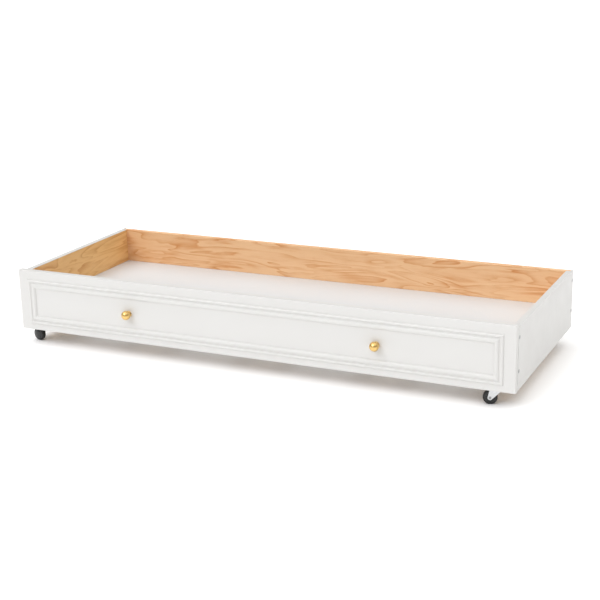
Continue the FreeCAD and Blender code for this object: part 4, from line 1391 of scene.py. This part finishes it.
@dataclass
class Studio:
    """A white floor, soft daylight from the upper left and the camera."""

    eye: tuple[float, float, float] = (2.0485, -4.2646, 1.6054)
    yaw: float = 0.44018
    pitch: float = 0.29331
    roll: float = -0.02318
    lens: float = 77.792
    sensor: float = 36.0
    floor_reach: float = 90.0
    floor_colour: Colour = (0.90, 0.90, 0.90)
    floor_glow: float = 0.24
    glow_reach: float = 0.16
    glow_shade: Point = (0.24, 0.62)    # how open the floor is where the glow starts and where it is full
    sky: float = 0.30
    overhead_power: float = 2.22
    overhead_spread: float = 108.0
    window_power: float = 1.07
    window_from: tuple[float, float, float] = (-0.30, -0.70, 0.65)
    window_spread: float = 34.0

    def floor(self) -> None:
        """A wide plain floor, whose own glow fades under the bed."""
        reach = self.floor_reach
        shape = bmesh.new()
        shape.faces.new([shape.verts.new((x, y, 0.0)) for x, y in
                         ((-reach, -reach), (reach, -reach), (reach, reach), (-reach, reach))])
        made = scratch_object("floor", mesh_of(shape, "floor"))
        material = bpy.data.materials.new("floor_white")
        material.use_nodes = True
        shader = material.node_tree.nodes["Principled BSDF"]
        shader.inputs["Base Color"].default_value = (*self.floor_colour, 1.0)
        shader.inputs["Roughness"].default_value = 0.9
        shader.inputs["Specular IOR Level"].default_value = 0.0
        shader.inputs["Emission Color"].default_value = (1.0, 1.0, 1.0, 1.0)
        write = ShaderWriter(material.node_tree)
        openness = write.node("ShaderNodeAmbientOcclusion", {"Distance": self.glow_reach}, samples=8)
        glow = write.remap(openness.outputs["AO"], self.glow_shade, (0.0, self.floor_glow))
        write.feed(shader.inputs["Emission Strength"], glow)
        made.data.materials.append(material)

    def sun(self, name: str, power: float, source: Sequence[float], spread: float, colour: Colour) -> None:
        """Add a soft sun.

        Args:
            name: The light's name.
            power: Its strength.
            source: The direction that it comes from.
            spread: Its apparent size in degrees.
            colour: Its colour.
        """
        light = bpy.data.lights.new(name, "SUN")
        light.energy = power
        light.angle = math.radians(spread)
        light.color = colour
        made = bpy.data.objects.new(name, light)
        made.rotation_euler = Vector(source).to_track_quat("Z", "Y").to_euler()
        bpy.context.scene.collection.objects.link(made)

    def lights(self) -> None:
        """An even white sky, a broad light overhead and a window at the upper left."""
        world = bpy.data.worlds.new("studio_sky")
        world.use_nodes = True
        background = world.node_tree.nodes["Background"]
        background.inputs["Color"].default_value = (1.0, 0.98, 0.945, 1.0)
        background.inputs["Strength"].default_value = self.sky
        bpy.context.scene.world = world
        self.sun("overhead", self.overhead_power, (0.0, 0.0, 1.0), self.overhead_spread, (1.0, 1.0, 1.0))
        self.sun("window", self.window_power, self.window_from, self.window_spread, (0.985, 1.0, 1.05))

    def camera(self) -> None:
        """The camera at the viewing angle."""
        level, drop = math.cos(self.pitch), math.sin(self.pitch)
        forward = Vector((-math.sin(self.yaw) * level, math.cos(self.yaw) * level, -drop))
        right = Vector((math.cos(self.yaw), math.sin(self.yaw), 0.0))
        up = right.cross(forward)
        tilted_right = right * math.cos(self.roll) + up * math.sin(self.roll)
        tilted_up = up * math.cos(self.roll) - right * math.sin(self.roll)
        data = bpy.data.cameras.new("camera")
        data.lens = self.lens
        data.sensor_width = self.sensor
        data.clip_end = 2 * self.floor_reach
        made = bpy.data.objects.new("camera", data)
        turned = Matrix((tilted_right, tilted_up, -forward)).transposed().to_4x4()
        made.matrix_world = Matrix.Translation(Vector(self.eye)) @ turned
        bpy.context.scene.collection.objects.link(made)
        bpy.context.scene.camera = made

    def build(self) -> None:
        """Set up the studio."""
        self.floor()
        self.lights()
        self.camera()
        bpy.context.scene.view_settings.view_transform = "Standard"


def main() -> None:
    """Build the bed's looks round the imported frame."""
    logging.basicConfig(level=logging.INFO, format="%(name)s: %(message)s")
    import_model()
    shop = Workshop(Palette())
    Boards(shop).build()
    Moulding(shop).build()
    for side in Side:
        Knob(shop, side).build()
    for end in ("front", "rear"):
        for side in Side:
            Caster(shop, end, side).build()
    Screws(shop).build()
    Studio().build()
    log.info("%d pieces", shop.count)


if __name__ == "__main__":
    main()
